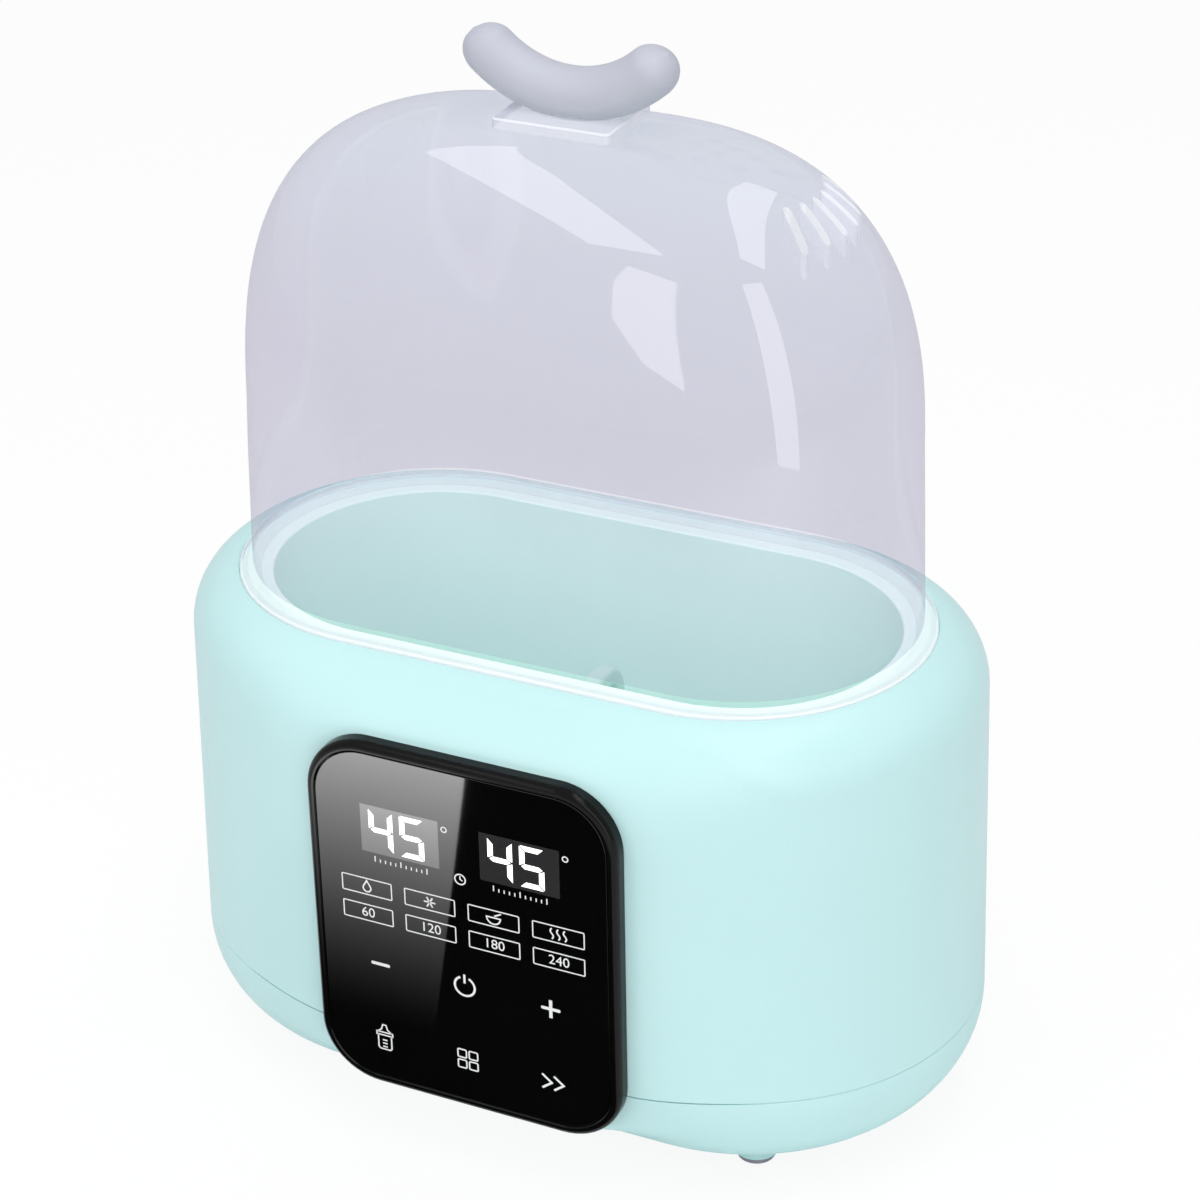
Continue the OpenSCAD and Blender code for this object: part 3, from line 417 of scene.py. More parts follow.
def metal(name, colour, rough, stretch=(1, 1, 1)):
    """Bare or plated metal with marks that run one way."""
    material, tree, shader = blank_finish(name)
    brush = grain(tree, 220, 4, stretch)
    tree.feed(shader, {
        "Base Color": mottle(tree, brush, colour, 0.08),
        "Roughness": spread(tree, brush, rough * 0.7, rough * 1.3),
        "Normal": dimples(tree, brush, 0.00002), "Metallic": 1})
    return material


def banded(name, colours, scale, rough, direction):
    """Two colours in bands along one way, such as cable cores or tape."""
    material, tree, shader = blank_finish(name)
    wave = tree.node("ShaderNodeTexWave", {
        "Vector": tree.place(), "Scale": scale, "Distortion": 0.3}, bands_direction=direction)
    tree.feed(shader, {
        "Base Color": ramp(tree, wave.outputs["Fac"], (0.48, 0.52), colours),
        "Roughness": spread(tree, grain(tree, 60), rough * 0.8, rough * 1.2)})
    return material


def circuit_finish(name, copper, mask):
    """Solder mask over a web of copper tracks."""
    material, tree, shader = blank_finish(name)
    tracks = tree.add("ShaderNodeTexVoronoi", {"Vector": tree.place(), "Scale": 160},
                      feature="DISTANCE_TO_EDGE")
    tree.feed(shader, {
        "Base Color": ramp(tree, tracks, (0.06, 0.09), (copper, mask)),
        "Roughness": spread(tree, grain(tree, 90), 0.28, 0.42)})
    return material


def smoky_finish(name, finish, gloss, rim):
    """Thin tinted clear plastic: gloss is its mirror share face on, rim at a glancing look.

    Faces marked outside carry the gloss and the tint of the whole wall; that tint darkens towards
    the lid's foot as painted shade. Faces marked milky scatter light, paler where they are
    milkier; the palest, on the rounded edges and the slots' walls, are a painted highlight.
    Light falls through almost unweakened, so that the tank inside is lit.
    """
    material, tree, shader = blank_finish(name)
    tree.nodes.remove(shader)
    ripple = grain(tree, 30, 1)
    outside, milky = (tree.node("ShaderNodeAttribute", attribute_name=mark).outputs["Fac"]
                      for mark in ("outside", "milky"))
    # Painted shade: the wall's tint goes from the crown's tint to a darker one towards the lid's
    # foot
    down = tree.add("ShaderNodeMapRange", {
        "Value": tree.along("Z"), "From Min": FOOT_SHADE_HIGH, "From Max": FOOT_SHADE_LOW})
    smoke = tree.blend(down, *(mottle(tree, ripple, tint, 0.004)
                               for tint in (finish.smoke, finish.smoke_foot_shade)))
    wall = tree.add("ShaderNodeBsdfTransparent", {"Color": tree.blend(outside, WHITE, smoke)})
    cloud = tree.add("ShaderNodeBsdfDiffuse", {"Color": tree.blend(
        milky, mottle(tree, ripple, finish.haze, 0.02), MILK_AND_HIGHLIGHT)})
    mirror = tree.add("ShaderNodeBsdfGlossy", {"Roughness": spread(tree, ripple, 0.005, 0.02)})
    facing = tree.node("ShaderNodeLayerWeight", {"Blend": 0.5}).outputs["Facing"]
    share = tree.add("ShaderNodeMapRange", {
        "Value": tree.sum("POWER", facing, 4), "To Min": gloss, "To Max": rim})
    glossy = tree.times(share, tree.sum("GREATER_THAN", outside, 0.01))
    surface = tree.layer(glossy, tree.layer(milky, wall, cloud), mirror)
    clear = tree.add("ShaderNodeBsdfTransparent", {"Color": CLEAR})
    tree.show(tree.layer(tree.rays("Shadow", "Diffuse"), surface, clear))
    return material


def lit_finish(name, colour, strength):
    """Lit bars of the digits: a glow that varies a little over each bar."""
    material, tree, shader = blank_finish(name)
    tree.feed(shader, {
        "Emission Color": mottle(tree, grain(tree, 700, 1), colour, 0.05),
        "Emission Strength": strength, "Base Color": (*colour, 1), "Roughness": 0.4})
    return material


# Mesh tools


def around(rule):
    """Ring of points round an oval: rule(angle) gives end reach, radius and height."""
    ring = []
    for side in (1, -1):
        for i in range(END_STEPS + 1):
            angle = math.pi * (i / END_STEPS - 0.5)
            reach, radius, z = rule(angle)
            ring.append(Vector((side * (reach + radius * math.cos(angle)),
                                side * radius * math.sin(angle), z)))
    return ring


def even(reach, radius, z):
    """A ring rule that is the same all the way round."""
    return lambda angle: (reach, radius, z)


def rounded(centre, radius, start, end, steps):
    """Points of an arc in a wall section."""
    return [(centre[0] + radius * math.cos(a), centre[1] + radius * math.sin(a))
            for a in (start + (end - start) * i / steps for i in range(steps + 1))]


def low_edge(radius, z, soft):
    """Rounding of a section's outer edge at its lower end."""
    return rounded((radius - soft, z + soft), soft, -QUARTER, 0, EDGE_STEPS)


def high_edge(radius, z, soft):
    """Rounding of a section's outer edge at its upper end."""
    return rounded((radius - soft, z - soft), soft, 0, QUARTER, EDGE_STEPS)


def frame_ring(width, tall, corner, at, steps=10):
    """Ring of points round a rectangle with round corners; at(x, z) gives each point."""
    ring = []
    corner = max(corner, 0)
    for turn, (sx, sz) in enumerate(((1, 1), (-1, 1), (-1, -1), (1, -1))):
        for i in range(steps + 1):
            angle = QUARTER * (turn + i / steps)
            x = sx * (width / 2 - corner) + corner * math.cos(angle)
            z = sz * (tall / 2 - corner) + corner * math.sin(angle)
            ring.append(at(x, z))
    return ring


def lofted(rings, wrap=False, caps=False):
    """Mesh through rings of equal length; wrap joins last to first, caps close the ends."""
    mesh = bmesh.new()
    rows = [[mesh.verts.new(point) for point in ring] for ring in rings]
    count = len(rows[0])
    pairs = list(zip(rows, rows[1:]))
    if wrap:
        pairs.append((rows[-1], rows[0]))
    for low, high in pairs:
        for k in range(count):
            n = (k + 1) % count
            mesh.faces.new((low[k], low[n], high[n], high[k]))
    if caps:
        mesh.faces.new(reversed(rows[0]))
        mesh.faces.new(rows[-1])
    return mesh


def oval_mesh(reach, section, wrap=False):
    """Mesh with one section, of (radius, height) points, all the way round an oval."""
    return lofted([around(even(reach, r, z)) for r, z in section], wrap)


def turned(section, centre=(0, 0, 0), axis="Z", steps=40, wrap=True):
    """Mesh turned about an axis through centre, from points (radius, distance along)."""
    rings = []
    for radius, along in section:
        ring = []
        for k in range(steps):
            angle = 2 * math.pi * k / steps
            c, s = radius * math.cos(angle), radius * math.sin(angle)
            ring.append(Vector(centre) + Vector((c, s, along) if axis == "Z" else (s, along, c)))
        rings.append(ring)
    return lofted(rings, wrap)


def mark_rows(mesh, count, marks):
    """Gives each row of count faces its share of the tint and its milkiness."""
    outside = mesh.faces.layers.float.new("outside")
    milky = mesh.faces.layers.float.new("milky")
    for i, face in enumerate(mesh.faces):
        face[outside], face[milky] = marks[i // count]
    return mesh


def settled(name, mesh):
    """A plain mesh, closed at poles and seams, from a bmesh, which is used up."""
    bmesh.ops.remove_doubles(mesh, verts=mesh.verts, dist=SAME_POINT)
    bmesh.ops.dissolve_degenerate(mesh, edges=mesh.edges, dist=NO_WIDTH)
    bmesh.ops.recalc_face_normals(mesh, faces=mesh.faces)
    data = bpy.data.meshes.new(name)
    mesh.to_mesh(data)
    mesh.free()
    return data


def linked(name, data):
    """A new object in the scene."""
    thing = bpy.data.objects.new(name, data)
    bpy.context.scene.collection.objects.link(thing)
    return thing


def placed(name, mesh, material):
    """A new piece from a bmesh, shaded smooth."""
    data = settled(name, mesh)
    data.materials.append(material)
    return polish(linked(name, data))


def polish(piece):
    """Smooth shading that breaks at sharp edges and keeps flats flat."""
    piece.data.shade_smooth()
    piece.data.set_sharp_from_angle(angle=math.radians(CREASE))
    weigh = piece.modifiers.new("weigh", "WEIGHTED_NORMAL")
    weigh.keep_sharp = True
    return keep_result(piece, weigh)


def fixed(piece, body, slot, *nodes):
    """Ties a finished piece to its body and hides the CAD nodes it stands for; the finish slot is
    not used.
    """
    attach(piece, body)
    if nodes:
        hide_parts(*nodes)


def take_in(mesh, data):
    """Adds a plain mesh to a bmesh and uses it up."""
    mesh.from_mesh(data)
    bpy.data.meshes.remove(data)
    return mesh


def joined(meshes):
    """One bmesh that holds several, which are used up."""
    whole = bmesh.new()
    for mesh in meshes:
        take_in(whole, settled("part", mesh))
    return whole


def carve(piece, other, operation):
    """Boolean of a piece with a helper object, which is used up."""
    cut = piece.modifiers.new("carve", "BOOLEAN")
    cut.operation, cut.solver, cut.object = operation, "EXACT", other
    keep_result(piece, cut)
    helper = other.data
    bpy.data.objects.remove(other)
    bpy.data.meshes.remove(helper)


def worked_out(thing):
    """Plain mesh of an object's modified shape."""
    graph = bpy.context.evaluated_depsgraph_get()
    return bpy.data.meshes.new_from_object(thing.evaluated_get(graph), depsgraph=graph)


def keep_result(piece, modifier):
    """Turns a piece's modified shape into its own plain mesh."""
    result = worked_out(piece)
    piece.modifiers.remove(modifier)
    before = piece.data
    piece.data = result
    bpy.data.meshes.remove(before)
    result.name = piece.name
    return piece


# Geometry Nodes


class SizedTree(Tree):
    """A geometry tree whose sizes are named inputs."""

    def __init__(self, name, **sizes):
        data = bpy.data.node_groups.new(name, "GeometryNodeTree")
        data.is_modifier = True
        for way in ("INPUT", "OUTPUT"):
            data.interface.new_socket("Geometry", in_out=way, socket_type="NodeSocketGeometry")
        for label, value in sizes.items():
            kind = "NodeSocketInt" if isinstance(value, int) else "NodeSocketFloat"
            socket = data.interface.new_socket(label, in_out="INPUT", socket_type=kind)
            socket.default_value = value
        super().__init__(data)
        self.size = self.nodes.new("NodeGroupInput").outputs

    def minus(self, first, second):
        """A difference."""
        return self.sum("SUBTRACT", first, second)

    def grid(self, width, tall, columns=2, rows=2):
        """A flat grid of points."""
        return self.add("GeometryNodeMeshGrid", {
            "Size X": width, "Size Y": tall, "Vertices X": columns, "Vertices Y": rows})

    def corners(self):
        """The four corners that the sizes along and across give."""
        return self.grid(self.times(self.size["along"], 2), self.times(self.size["across"], 2))

    def row(self, count, start, step=(0, 0, 0)):
        """A row of points."""
        return self.add("GeometryNodeMeshLine", {
            "Count": count, "Start Location": start, "Offset": step})

    def drill(self, sides, depth):
        """A round cutter of the size hole."""
        return self.add("GeometryNodeMeshCylinder", {
            "Vertices": sides, "Radius": self.size["hole"], "Depth": depth})

    def slot(self, depth):
        """A cutter with round ends, of the sizes long and width."""
        width = self.size["width"]
        outline = self.add("GeometryNodeCurvePrimitiveQuadrilateral", {
            "Width": self.size["long"], "Height": width})
        soft = self.add("GeometryNodeFilletCurve", {
            "Curve": outline, "Count": 8, "Radius": self.times(width, 0.49)}, mode="POLY")
        line = self.add("GeometryNodeCurvePrimitiveLine", {
            "Start": (0, 0, -depth / 2), "End": (0, 0, depth / 2)})
        return self.add("GeometryNodeCurveToMesh", {
            "Curve": line, "Profile Curve": soft, "Fill Caps": True})

    def move(self, geometry, way, turn=(0, 0, 0)):
        """Turned and moved geometry."""
        return self.add("GeometryNodeTransform", {
            "Geometry": geometry, "Translation": way, "Rotation": turn})

    def copies(self, points, piece, turn=(0, 0, 0)):
        """Copies of a piece on points."""
        return self.add("GeometryNodeInstanceOnPoints", {
            "Points": points, "Instance": piece, "Rotation": turn})

    def join(self, *parts):
        """Several geometries as one."""
        node = self.node("GeometryNodeJoinGeometry")
        for part in parts:
            self.links.new(part, node.inputs[0])
        return node.outputs[0]

    def cut(self, cutter):
        """The tree's own geometry less a cutter."""
        real = self.add("GeometryNodeRealizeInstances", {"Geometry": cutter})
        return self.add("GeometryNodeMeshBoolean", {0: self.size["Geometry"], 1: real},
                        operation="DIFFERENCE", solver="EXACT")

    def end(self, geometry, material):
        """Ends the tree in real geometry that carries its material."""
        real = self.add("GeometryNodeRealizeInstances", {"Geometry": geometry})
        dressed = self.add("GeometryNodeSetMaterial", {"Geometry": real, "Material": material})
        self.links.new(dressed, self.nodes.new("NodeGroupOutput").inputs["Geometry"])
        return self.data


def grow(piece, tree, **sizes):
    """Runs a tree on a piece with these sizes and keeps the result as a plain mesh."""
    modifier = piece.modifiers.new(tree.name, "NODES")
    modifier.node_group = tree
    for socket in tree.interface.items_tree:
        if socket.in_out == "INPUT" and socket.name in sizes:
            modifier[socket.identifier] = sizes[socket.name]
    return polish(keep_result(piece, modifier))


def four_corners(name, section, material, along, across, wrap=True):
    """A turned piece at the four corners of a rectangle."""
    tree = SizedTree("four_corners", along=0.05, across=0.05)
    copies = tree.end(tree.copies(tree.corners(), tree.size["Geometry"]), material)
    return grow(placed(name, turned(section, wrap=wrap), material), copies,
                along=along, across=across)


def pan_tree(material, depth):
    """Cuts the row of air slots and the four screw holes in the base pan."""
    tree = SizedTree("pan_cutouts", slots=7, width=0.003, long=0.04, pitch=0.009,
                     hole=0.003, along=0.03, across=0.03)
    count, pitch = tree.size["slots"], tree.size["pitch"]
    first = tree.times(tree.minus(count, 1), tree.times(pitch, -0.5))
    row = tree.row(count, tree.vector(X=first), tree.vector(X=pitch))
    slots = tree.copies(row, tree.slot(depth), (0, 0, QUARTER))
    holes = tree.copies(tree.corners(), tree.drill(32, depth))
    return tree.end(tree.cut(tree.join(slots, holes)), material)


def vent_tree(material, depth, z):
    """Cuts a fan of steam slots in the lid."""
    tree = SizedTree("steam_slots", slots=6, width=0.0026, long=0.014, fan=0.035, reach=0.027,
                     step=0.2, haze=0.9)
    size = tree.size
    # The slots' walls are marked milky so that they show pale: a painted highlight
    marked = tree.add("GeometryNodeStoreNamedAttribute", {
        "Geometry": tree.slot(depth), "Name": "milky", "Value": size["haze"]},
        data_type="FLOAT", domain="FACE")
    middle = tree.sum("ADD", size["reach"], tree.times(size["long"], 0.5))
    slot = tree.move(marked, tree.vector(X=middle))
    points = tree.row(size["slots"], tree.vector(X=size["fan"], Z=z))
    middle_index = tree.times(tree.minus(size["slots"], 1), 0.5)
    turn = tree.times(size["step"], tree.minus(tree.add("GeometryNodeInputIndex"), middle_index))
    return tree.end(tree.cut(tree.copies(points, slot, tree.vector(Z=turn))), material)


def drain_tree(material, depth):
    """Cuts two places of drain holes, each a middle hole and two rings, in the tray."""
    tree = SizedTree("drain_holes", hole=0.0032, ring=0.0134, place=0.0436, z=0.064)
    size = tree.size
    dots = [tree.add("GeometryNodeMeshLine", {"Count": 1})]
    dots += [tree.add("GeometryNodeMeshCircle", {
        "Vertices": 6 * k, "Radius": tree.times(size["ring"], k)}) for k in (1, 2)]
    holes = tree.copies(tree.join(*dots), tree.drill(24, depth))
    left = tree.vector(X=tree.times(size["place"], -1), Z=size["z"])
    places = tree.row(2, left, tree.vector(X=tree.times(size["place"], 2)))
    return tree.end(tree.cut(tree.copies(places, holes)), material)


def bar_tree(material):
    """Round bar that follows an arc and closes in a round tip at each end."""
    tree = SizedTree("curved_bar", radius=0.0067, curve=0.0327, span=0.73, low=0.278)
    radius, curve = tree.size["radius"], tree.size["curve"]
    half = tree.sum("ADD", tree.size["span"], tree.sum("DIVIDE", radius, curve))
    sweep = tree.times(half, 2)
    arc = tree.add("GeometryNodeCurveArc", {
        "Resolution": 97, "Radius": curve, "Start Angle": tree.minus(-QUARTER, half),
        "Sweep Angle": sweep}, mode="RADIUS")
    along = tree.node("GeometryNodeSplineParameter").outputs["Length"]
    to_end = tree.sum("MINIMUM", along, tree.minus(tree.times(sweep, curve), along))
    short = tree.sum("MAXIMUM", tree.minus(radius, to_end), 0)
    share = tree.sum("DIVIDE", short, radius)
    left = tree.sum("MAXIMUM", tree.minus(1, tree.sum("POWER", share, 2)), 0.0004)
    path = tree.add("GeometryNodeSetCurveRadius", {
        "Curve": arc, "Radius": tree.sum("SQRT", left)})
    rim = tree.add("GeometryNodeCurvePrimitiveCircle", {
        "Resolution": 48, "Radius": radius}, mode="RADIUS")
    tube = tree.add("GeometryNodeCurveToMesh", {
        "Curve": path, "Profile Curve": rim, "Fill Caps": True,
        "Scale": tree.add("GeometryNodeInputRadius")})
    lift = tree.vector(Z=tree.sum("ADD", tree.size["low"], curve))
    return tree.end(tree.move(tube, lift, (QUARTER, 0, 0)), material)


def key_tree(material, columns, rows):
    """Copies a key's frame over a grid of keys on the panel."""
    tree = SizedTree("key_frames", step=0.0183, drop=0.0083, depth=-0.074, z=0.079)
    size = tree.size
    grid = tree.grid(tree.times(size["step"], columns - 1), tree.times(size["drop"], rows - 1),
                     columns, rows)
    upright = tree.move(grid, tree.vector(Y=size["depth"], Z=size["z"]), (QUARTER, 0, 0))
    return tree.end(tree.copies(upright, size["Geometry"]), material)


# Shapes of the pieces


def wall_half(body, z):
    """Half the body's width at a height on its straight wall."""
    return body.top_half + body.lean * (body.top_z - z) / (body.top_z - body.under_z)


def skin_half(body, z):
    """Half the body's width at any height, the roundings of pan and shoulder included."""
    for turn_z, radius, past in (
            (body.under_z + body.pan_r, body.pan_r, body.under_z + body.pan_r - z),
            (body.top_z - body.shoulder_r, body.shoulder_r, z - body.top_z + body.shoulder_r)):
        if past > 0:
            return wall_half(body, turn_z) - radius + math.sqrt(max(0, radius ** 2 - past ** 2))
    return wall_half(body, z)


def housing_mesh(body, tank):
    """Upper shell: wall, rounded shoulder, recess for the tank's rim and hollow inside."""
    spring_z = body.top_z - body.shoulder_r
    spring_r = wall_half(body, spring_z) - body.shoulder_r
    shift = body.reach - tank.reach
    bevel = body.edge / body.shoulder_r
    rim_low = tank.rim_z - tank.rim_t
    inner_r = max(MM, body.shoulder_r - (body.top_z - tank.ledge_z))
    inner_z = tank.ledge_z - inner_r

    def recess(angle):
        """Recess edge seen from the body's own end centre."""
        side = shift * math.sin(angle)
        return math.sqrt(tank.recess_r ** 2 - side ** 2) - shift * math.cos(angle)

    def shoulder(share, back=0.0, drop=0.0):
        """Ring on the shoulder, share of the way from the wall to the recess."""
        def rule(angle):
            turn = (math.acos((recess(angle) - spring_r) / body.shoulder_r) - back) * share
            return (body.reach, spring_r + body.shoulder_r * math.cos(turn),
                    spring_z + body.shoulder_r * math.sin(turn) - drop)
        return rule

    seam = wall_half(body, body.seam_z)
    rules = [even(body.reach, r, z) for r, z in low_edge(seam, body.seam_z, body.edge)]
    for i in range(1, 10):
        z = body.seam_z + (spring_z - body.seam_z) * i / 10
        rules.append(even(body.reach, wall_half(body, z), z))
    rules += [shoulder(i / 20, back=bevel) for i in range(21)]
    rules += [shoulder(1, drop=body.edge), lambda angle: (body.reach, recess(angle), rim_low)]
    rules += [even(tank.reach, tank.mouth_r, z) for z in (rim_low, tank.ledge_z)]
    hollow = wall_half(body, inner_z) - body.wall
    rules += [even(body.reach, r, z) for r, z in rounded(
        (hollow - inner_r, inner_z), inner_r, QUARTER, 0, 5)]
    rules.append(even(body.reach, seam - body.wall, body.seam_z))
    return lofted([around(rule) for rule in rules], wrap=True)


def pan_mesh(body, tongue_h, tongue_t, slip):
    """Bowl-shaped bottom with the locating tongue inside its seam."""
    turn_z = body.under_z + body.pan_r
    turn_r = wall_half(body, turn_z) - body.pan_r
    seam = wall_half(body, body.seam_z)
    lip = seam - body.wall - slip
    tip = body.seam_z + tongue_h
    floor_z = body.under_z + body.wall
    section = [(0, body.under_z), (turn_r / 2, body.under_z)]
    section += rounded((turn_r, turn_z), body.pan_r, -QUARTER, 0, 24)
    section += high_edge(seam, body.seam_z, body.edge)
    section += [(lip, body.seam_z), (lip, tip), (lip - tongue_t, tip), (lip - tongue_t, turn_z)]
    section += rounded((turn_r, turn_z), body.pan_r - body.wall, 0, -QUARTER, 12)
    section += [(turn_r / 2, floor_z), (0, floor_z)]
    return oval_mesh(body.reach, section)


def tank_mesh(tank):
    """Moulded tank with its rim, open over the heating plate."""
    soft = 0.6 * MM
    low = tank.floor_z - tank.floor_t
    rim_low = tank.rim_z - tank.rim_t
    outer = tank.inner_r + tank.wall
    section = [(tank.opening_r, tank.floor_z)]
    section += rounded((tank.inner_r - tank.fillet, tank.floor_z + tank.fillet), tank.fillet,
                       -QUARTER, 0, 8)
    section += rounded((tank.inner_r + soft, tank.rim_z - soft), soft, 2 * QUARTER, QUARTER, 4)
    section += rounded((tank.rim_r - soft, tank.rim_z - soft), soft, QUARTER, 0, 4)
    section += [(tank.rim_r, rim_low), (outer, rim_low), (outer, low), (tank.opening_r, low)]
    return oval_mesh(tank.reach, section, wrap=True)


def dome_half(lid, reach, h):
    """Half length and half width of the lid at a height above its flange."""
    lean = lid.lean * min(1, h / lid.end_start)

    def curve(start, inset, full):
        """How far a side has curved in."""
        share = min(1, max(0, (h - start) / (lid.rise - start)))
        return inset * (1 - (1 - share ** full) ** (1 / full))

    return (reach + lid.base_r - lean - curve(lid.end_start, lid.end_inset, lid.end_fullness),
            lid.base_r - lean - curve(lid.side_start, lid.side_inset, lid.side_fullness))


def dome_heights(lid, reach, count):
    """Heights above the flange, spaced evenly along the dome's longer curve."""
    steps = 2000
    fine = [lid.rise * math.sin(QUARTER * i / steps) for i in range(steps + 1)]
    run = [0.0]
    for a, b in zip(fine, fine[1:]):
        (la, wa), (lb, wb) = dome_half(lid, reach, a), dome_half(lid, reach, b)
        run.append(run[-1] + max(math.hypot(b - a, la - lb), math.hypot(b - a, wa - wb)))
    picked, k = [], 0
    for i in range(count + 1):
        while k < steps and run[k] < run[-1] * i / count:
            k += 1
        picked.append(fine[k])
    return picked


def dome_ring(half_l, half_w, z):
    """Ring round the lid: a stadium sampled evenly by its long way."""
    reach = max(0, half_l - half_w)
    points = []
    for i in range(DOME_STEPS + 1):
        x = half_l * math.cos(QUARTER * i / DOME_STEPS)
        points.append((x, math.sqrt(max(0, half_w ** 2 - max(0, x - reach) ** 2))))
    points += [(-x, y) for x, y in reversed(points[:-1])]
    points += [(x, -y) for x, y in reversed(points[1:-1])]
    return [Vector((x, y, z)) for x, y in points]


def lid_mesh(lid, reach, rim_z):
    """Domed lid with its flange, as one closed double wall."""
    soft, root, clear = 0.6 * MM, 1.4 * MM, 0.08 * MM
    heights = [h for h in dome_heights(lid, reach, DOME_ROWS) if h > root]
    shrink = (lid.rise - lid.crown_t) / lid.rise
    foot_z = rim_z + clear
    inner = lid.base_r - lid.wall

    def wall(hs, inset, scale):
        """Rings of the wall at these heights."""
        halves = [(h, dome_half(lid, reach, h)) for h in hs]
        return [dome_ring(half_l - inset, half_w - inset, lid.flange_z + h * scale)
                for h, (half_l, half_w) in halves]

    def cap(inset, scale):
        """Rings that close the crown towards its middle line."""
        half_l, half_w = (half - inset for half in dome_half(lid, reach, lid.rise))
        return [dome_ring(half_l - half_w * s, half_w * (1 - s), lid.flange_z + lid.rise * scale)
                for s in (0.25, 0.5, 0.75, 1)]

    outline = [(inner, foot_z + soft), (inner + soft, foot_z)]
    outline += low_edge(lid.flange_r, foot_z, soft)
    outline += high_edge(lid.flange_r, lid.flange_z, soft)
    outline += rounded((lid.base_r + root, lid.flange_z + root), root, -QUARTER, -2 * QUARTER, 5)
    rings = cap(lid.wall, shrink)[::-1] + wall(heights[::-1], lid.wall, shrink)
    marks = [(0, 0)] * len(rings)
    for r, z in outline:
        wall_foot = r <= lid.base_r + root and z >= lid.flange_z
        # The flange's rounded edge is milkier and paler: a painted highlight line
        if r > lid.flange_r - soft:
            marks.append((0, lid.edge_highlight_haze))
        else:
            marks.append((0 if wall_foot else lid.flange_tint, lid.flange_haze))
    rings += [dome_ring(reach + r, r, z) for r, z in outline]
    rings += wall(heights, 0, 1) + cap(0, 1)
    marks += [(1, lid.wall_haze)] * (len(rings) - len(marks))
    return mark_rows(lofted(rings), len(rings[0]), marks)


def saddle_mesh(lid, low):
    """Raised seat with soft edges on the lid's crown."""
    corner, soft = 1.6 * MM, 0.5 * MM
    levels = [(0, low)] + [(soft - r, z) for r, z in rounded(
        (0, lid.saddle_z - soft), soft, 0, QUARTER, 4)]
    rings = [frame_ring(lid.saddle_l - 2 * inset, lid.saddle_w - 2 * inset, corner - inset,
                        lambda x, y: Vector((x, y, z)), 5) for inset, z in levels]
    face = (lid.saddle_tint, lid.saddle_haze)
    # The rounded edges are milkier and paler: a painted highlight line
    marks = [face] + [(lid.saddle_tint, lid.edge_highlight_haze)] * (len(rings) - 2) + [face]
    return mark_rows(lofted(rings, caps=True), len(rings[0]), marks)


def panel_ring(panel, inset, at):
    """Ring round the panel's outline, drawn in by inset; at(x, z) gives each point."""
    return frame_ring(panel.width - 2 * inset, panel.tall - 2 * inset, panel.corner - inset, at,
                      CORNER_STEPS)


def panel_flat(y):
    """Points of the panel's plane at depth y."""
    return lambda x, z: Vector((x, y, panel_z + z))


def panel_wall(body, out):
    """Points on the body's front wall behind the panel, moved out towards the front."""
    return lambda x, z: Vector((x, -skin_half(body, panel_z + z) - out, panel_z + z))


def bezel_mesh(panel, body, front, seat):
    """Dark frame with a soft front edge and a lens pocket, and the tub behind it."""
    back = front + panel.depth
    half = panel.width / 2
    lip = 0.3 * MM
    wall = panel_wall(body, panel.gap)
    rings = [panel_ring(panel, half * s, wall) for s in (1, 0.6, 0.3)]
    rings.append(panel_ring(panel, panel.rim, wall))
    section = [(panel.rim, back), (0, back)]
    section += rounded((panel.edge, front + panel.edge), panel.edge, 2 * QUARTER, 3 * QUARTER, 8)
    section += [(panel.rim - lip, front), (panel.rim, front + lip), (panel.rim, seat)]
    section += [(half * s, seat) for s in (0.3, 0.6, 1)]
    return lofted(rings + [panel_ring(panel, inset, panel_flat(y)) for inset, y in section])


def body_skin(body, place):
    """Distance of the body's skin from its middle plane, the round ends included."""
    past = max(0, abs(place.x) - body.reach)
    return math.sqrt(max(0, skin_half(body, place.z) ** 2 - past ** 2))


def swell_run(panel, body, proud, start, out):
    """How far the wall's swelling runs out from a point of the panel's edge to the skin."""
    top, foot = body.top_z - panel.rim_room, body.under_z + MM

    def rise(run):
        """How steeply the swelling falls if it ends after this run."""
        return (proud - body_skin(body, start + out * run)) / run ** SWELL_POWER

    # From 1 to 60 mm, every quarter of a millimetre
    runs = (i * MM / 4 for i in range(4, 240))
    run = min((run for run in runs if foot < start.z + out.z * run < top), key=rise)
    return run + (panel.blend - run) * max(0, -out.z) ** 2


def seat_mesh(panel, body, front):
    """Swelling of the mint wall, which rises to the dark frame's back in one smooth curve."""
    face = front + panel.depth + panel.gap
    soft, sunk = 0.3 * MM, 0.8 * MM
    proud = -face - soft
    inner = panel.rim - panel.gap
    steps = 16
    shares = [i / steps for i in range(steps + 1)]
    over, under = [[] for share in shares], [[] for share in shares]
    edges = [panel_ring(panel, inset, panel_flat(0)) for inset in (0, -MM)]
    for start, end in zip(*edges):
        out = (end - start) / MM
        run = swell_run(panel, body, proud, start, out)
        low = max(0, -out.z) ** 2
        fall = proud - body_skin(body, start + out * run)
        for k, share in enumerate(shares):
            place = start + out * run * share
            skin = body_skin(body, place)
            tight = skin + (1 - share * share * (3 - 2 * share)) * (proud - skin)
            wide = proud - fall * share ** SWELL_POWER
            over[k].append(Vector((place.x, -wide - (tight - wide) * low, place.z)))
            under[k].append(Vector((place.x, sunk - skin, place.z)))
    rings = [panel_ring(panel, inner, panel_wall(body, -sunk))]
    rings += [panel_ring(panel, inset, panel_flat(face)) for inset in (inner, soft)]
    return lofted(rings + over + under[::-1], wrap=True)


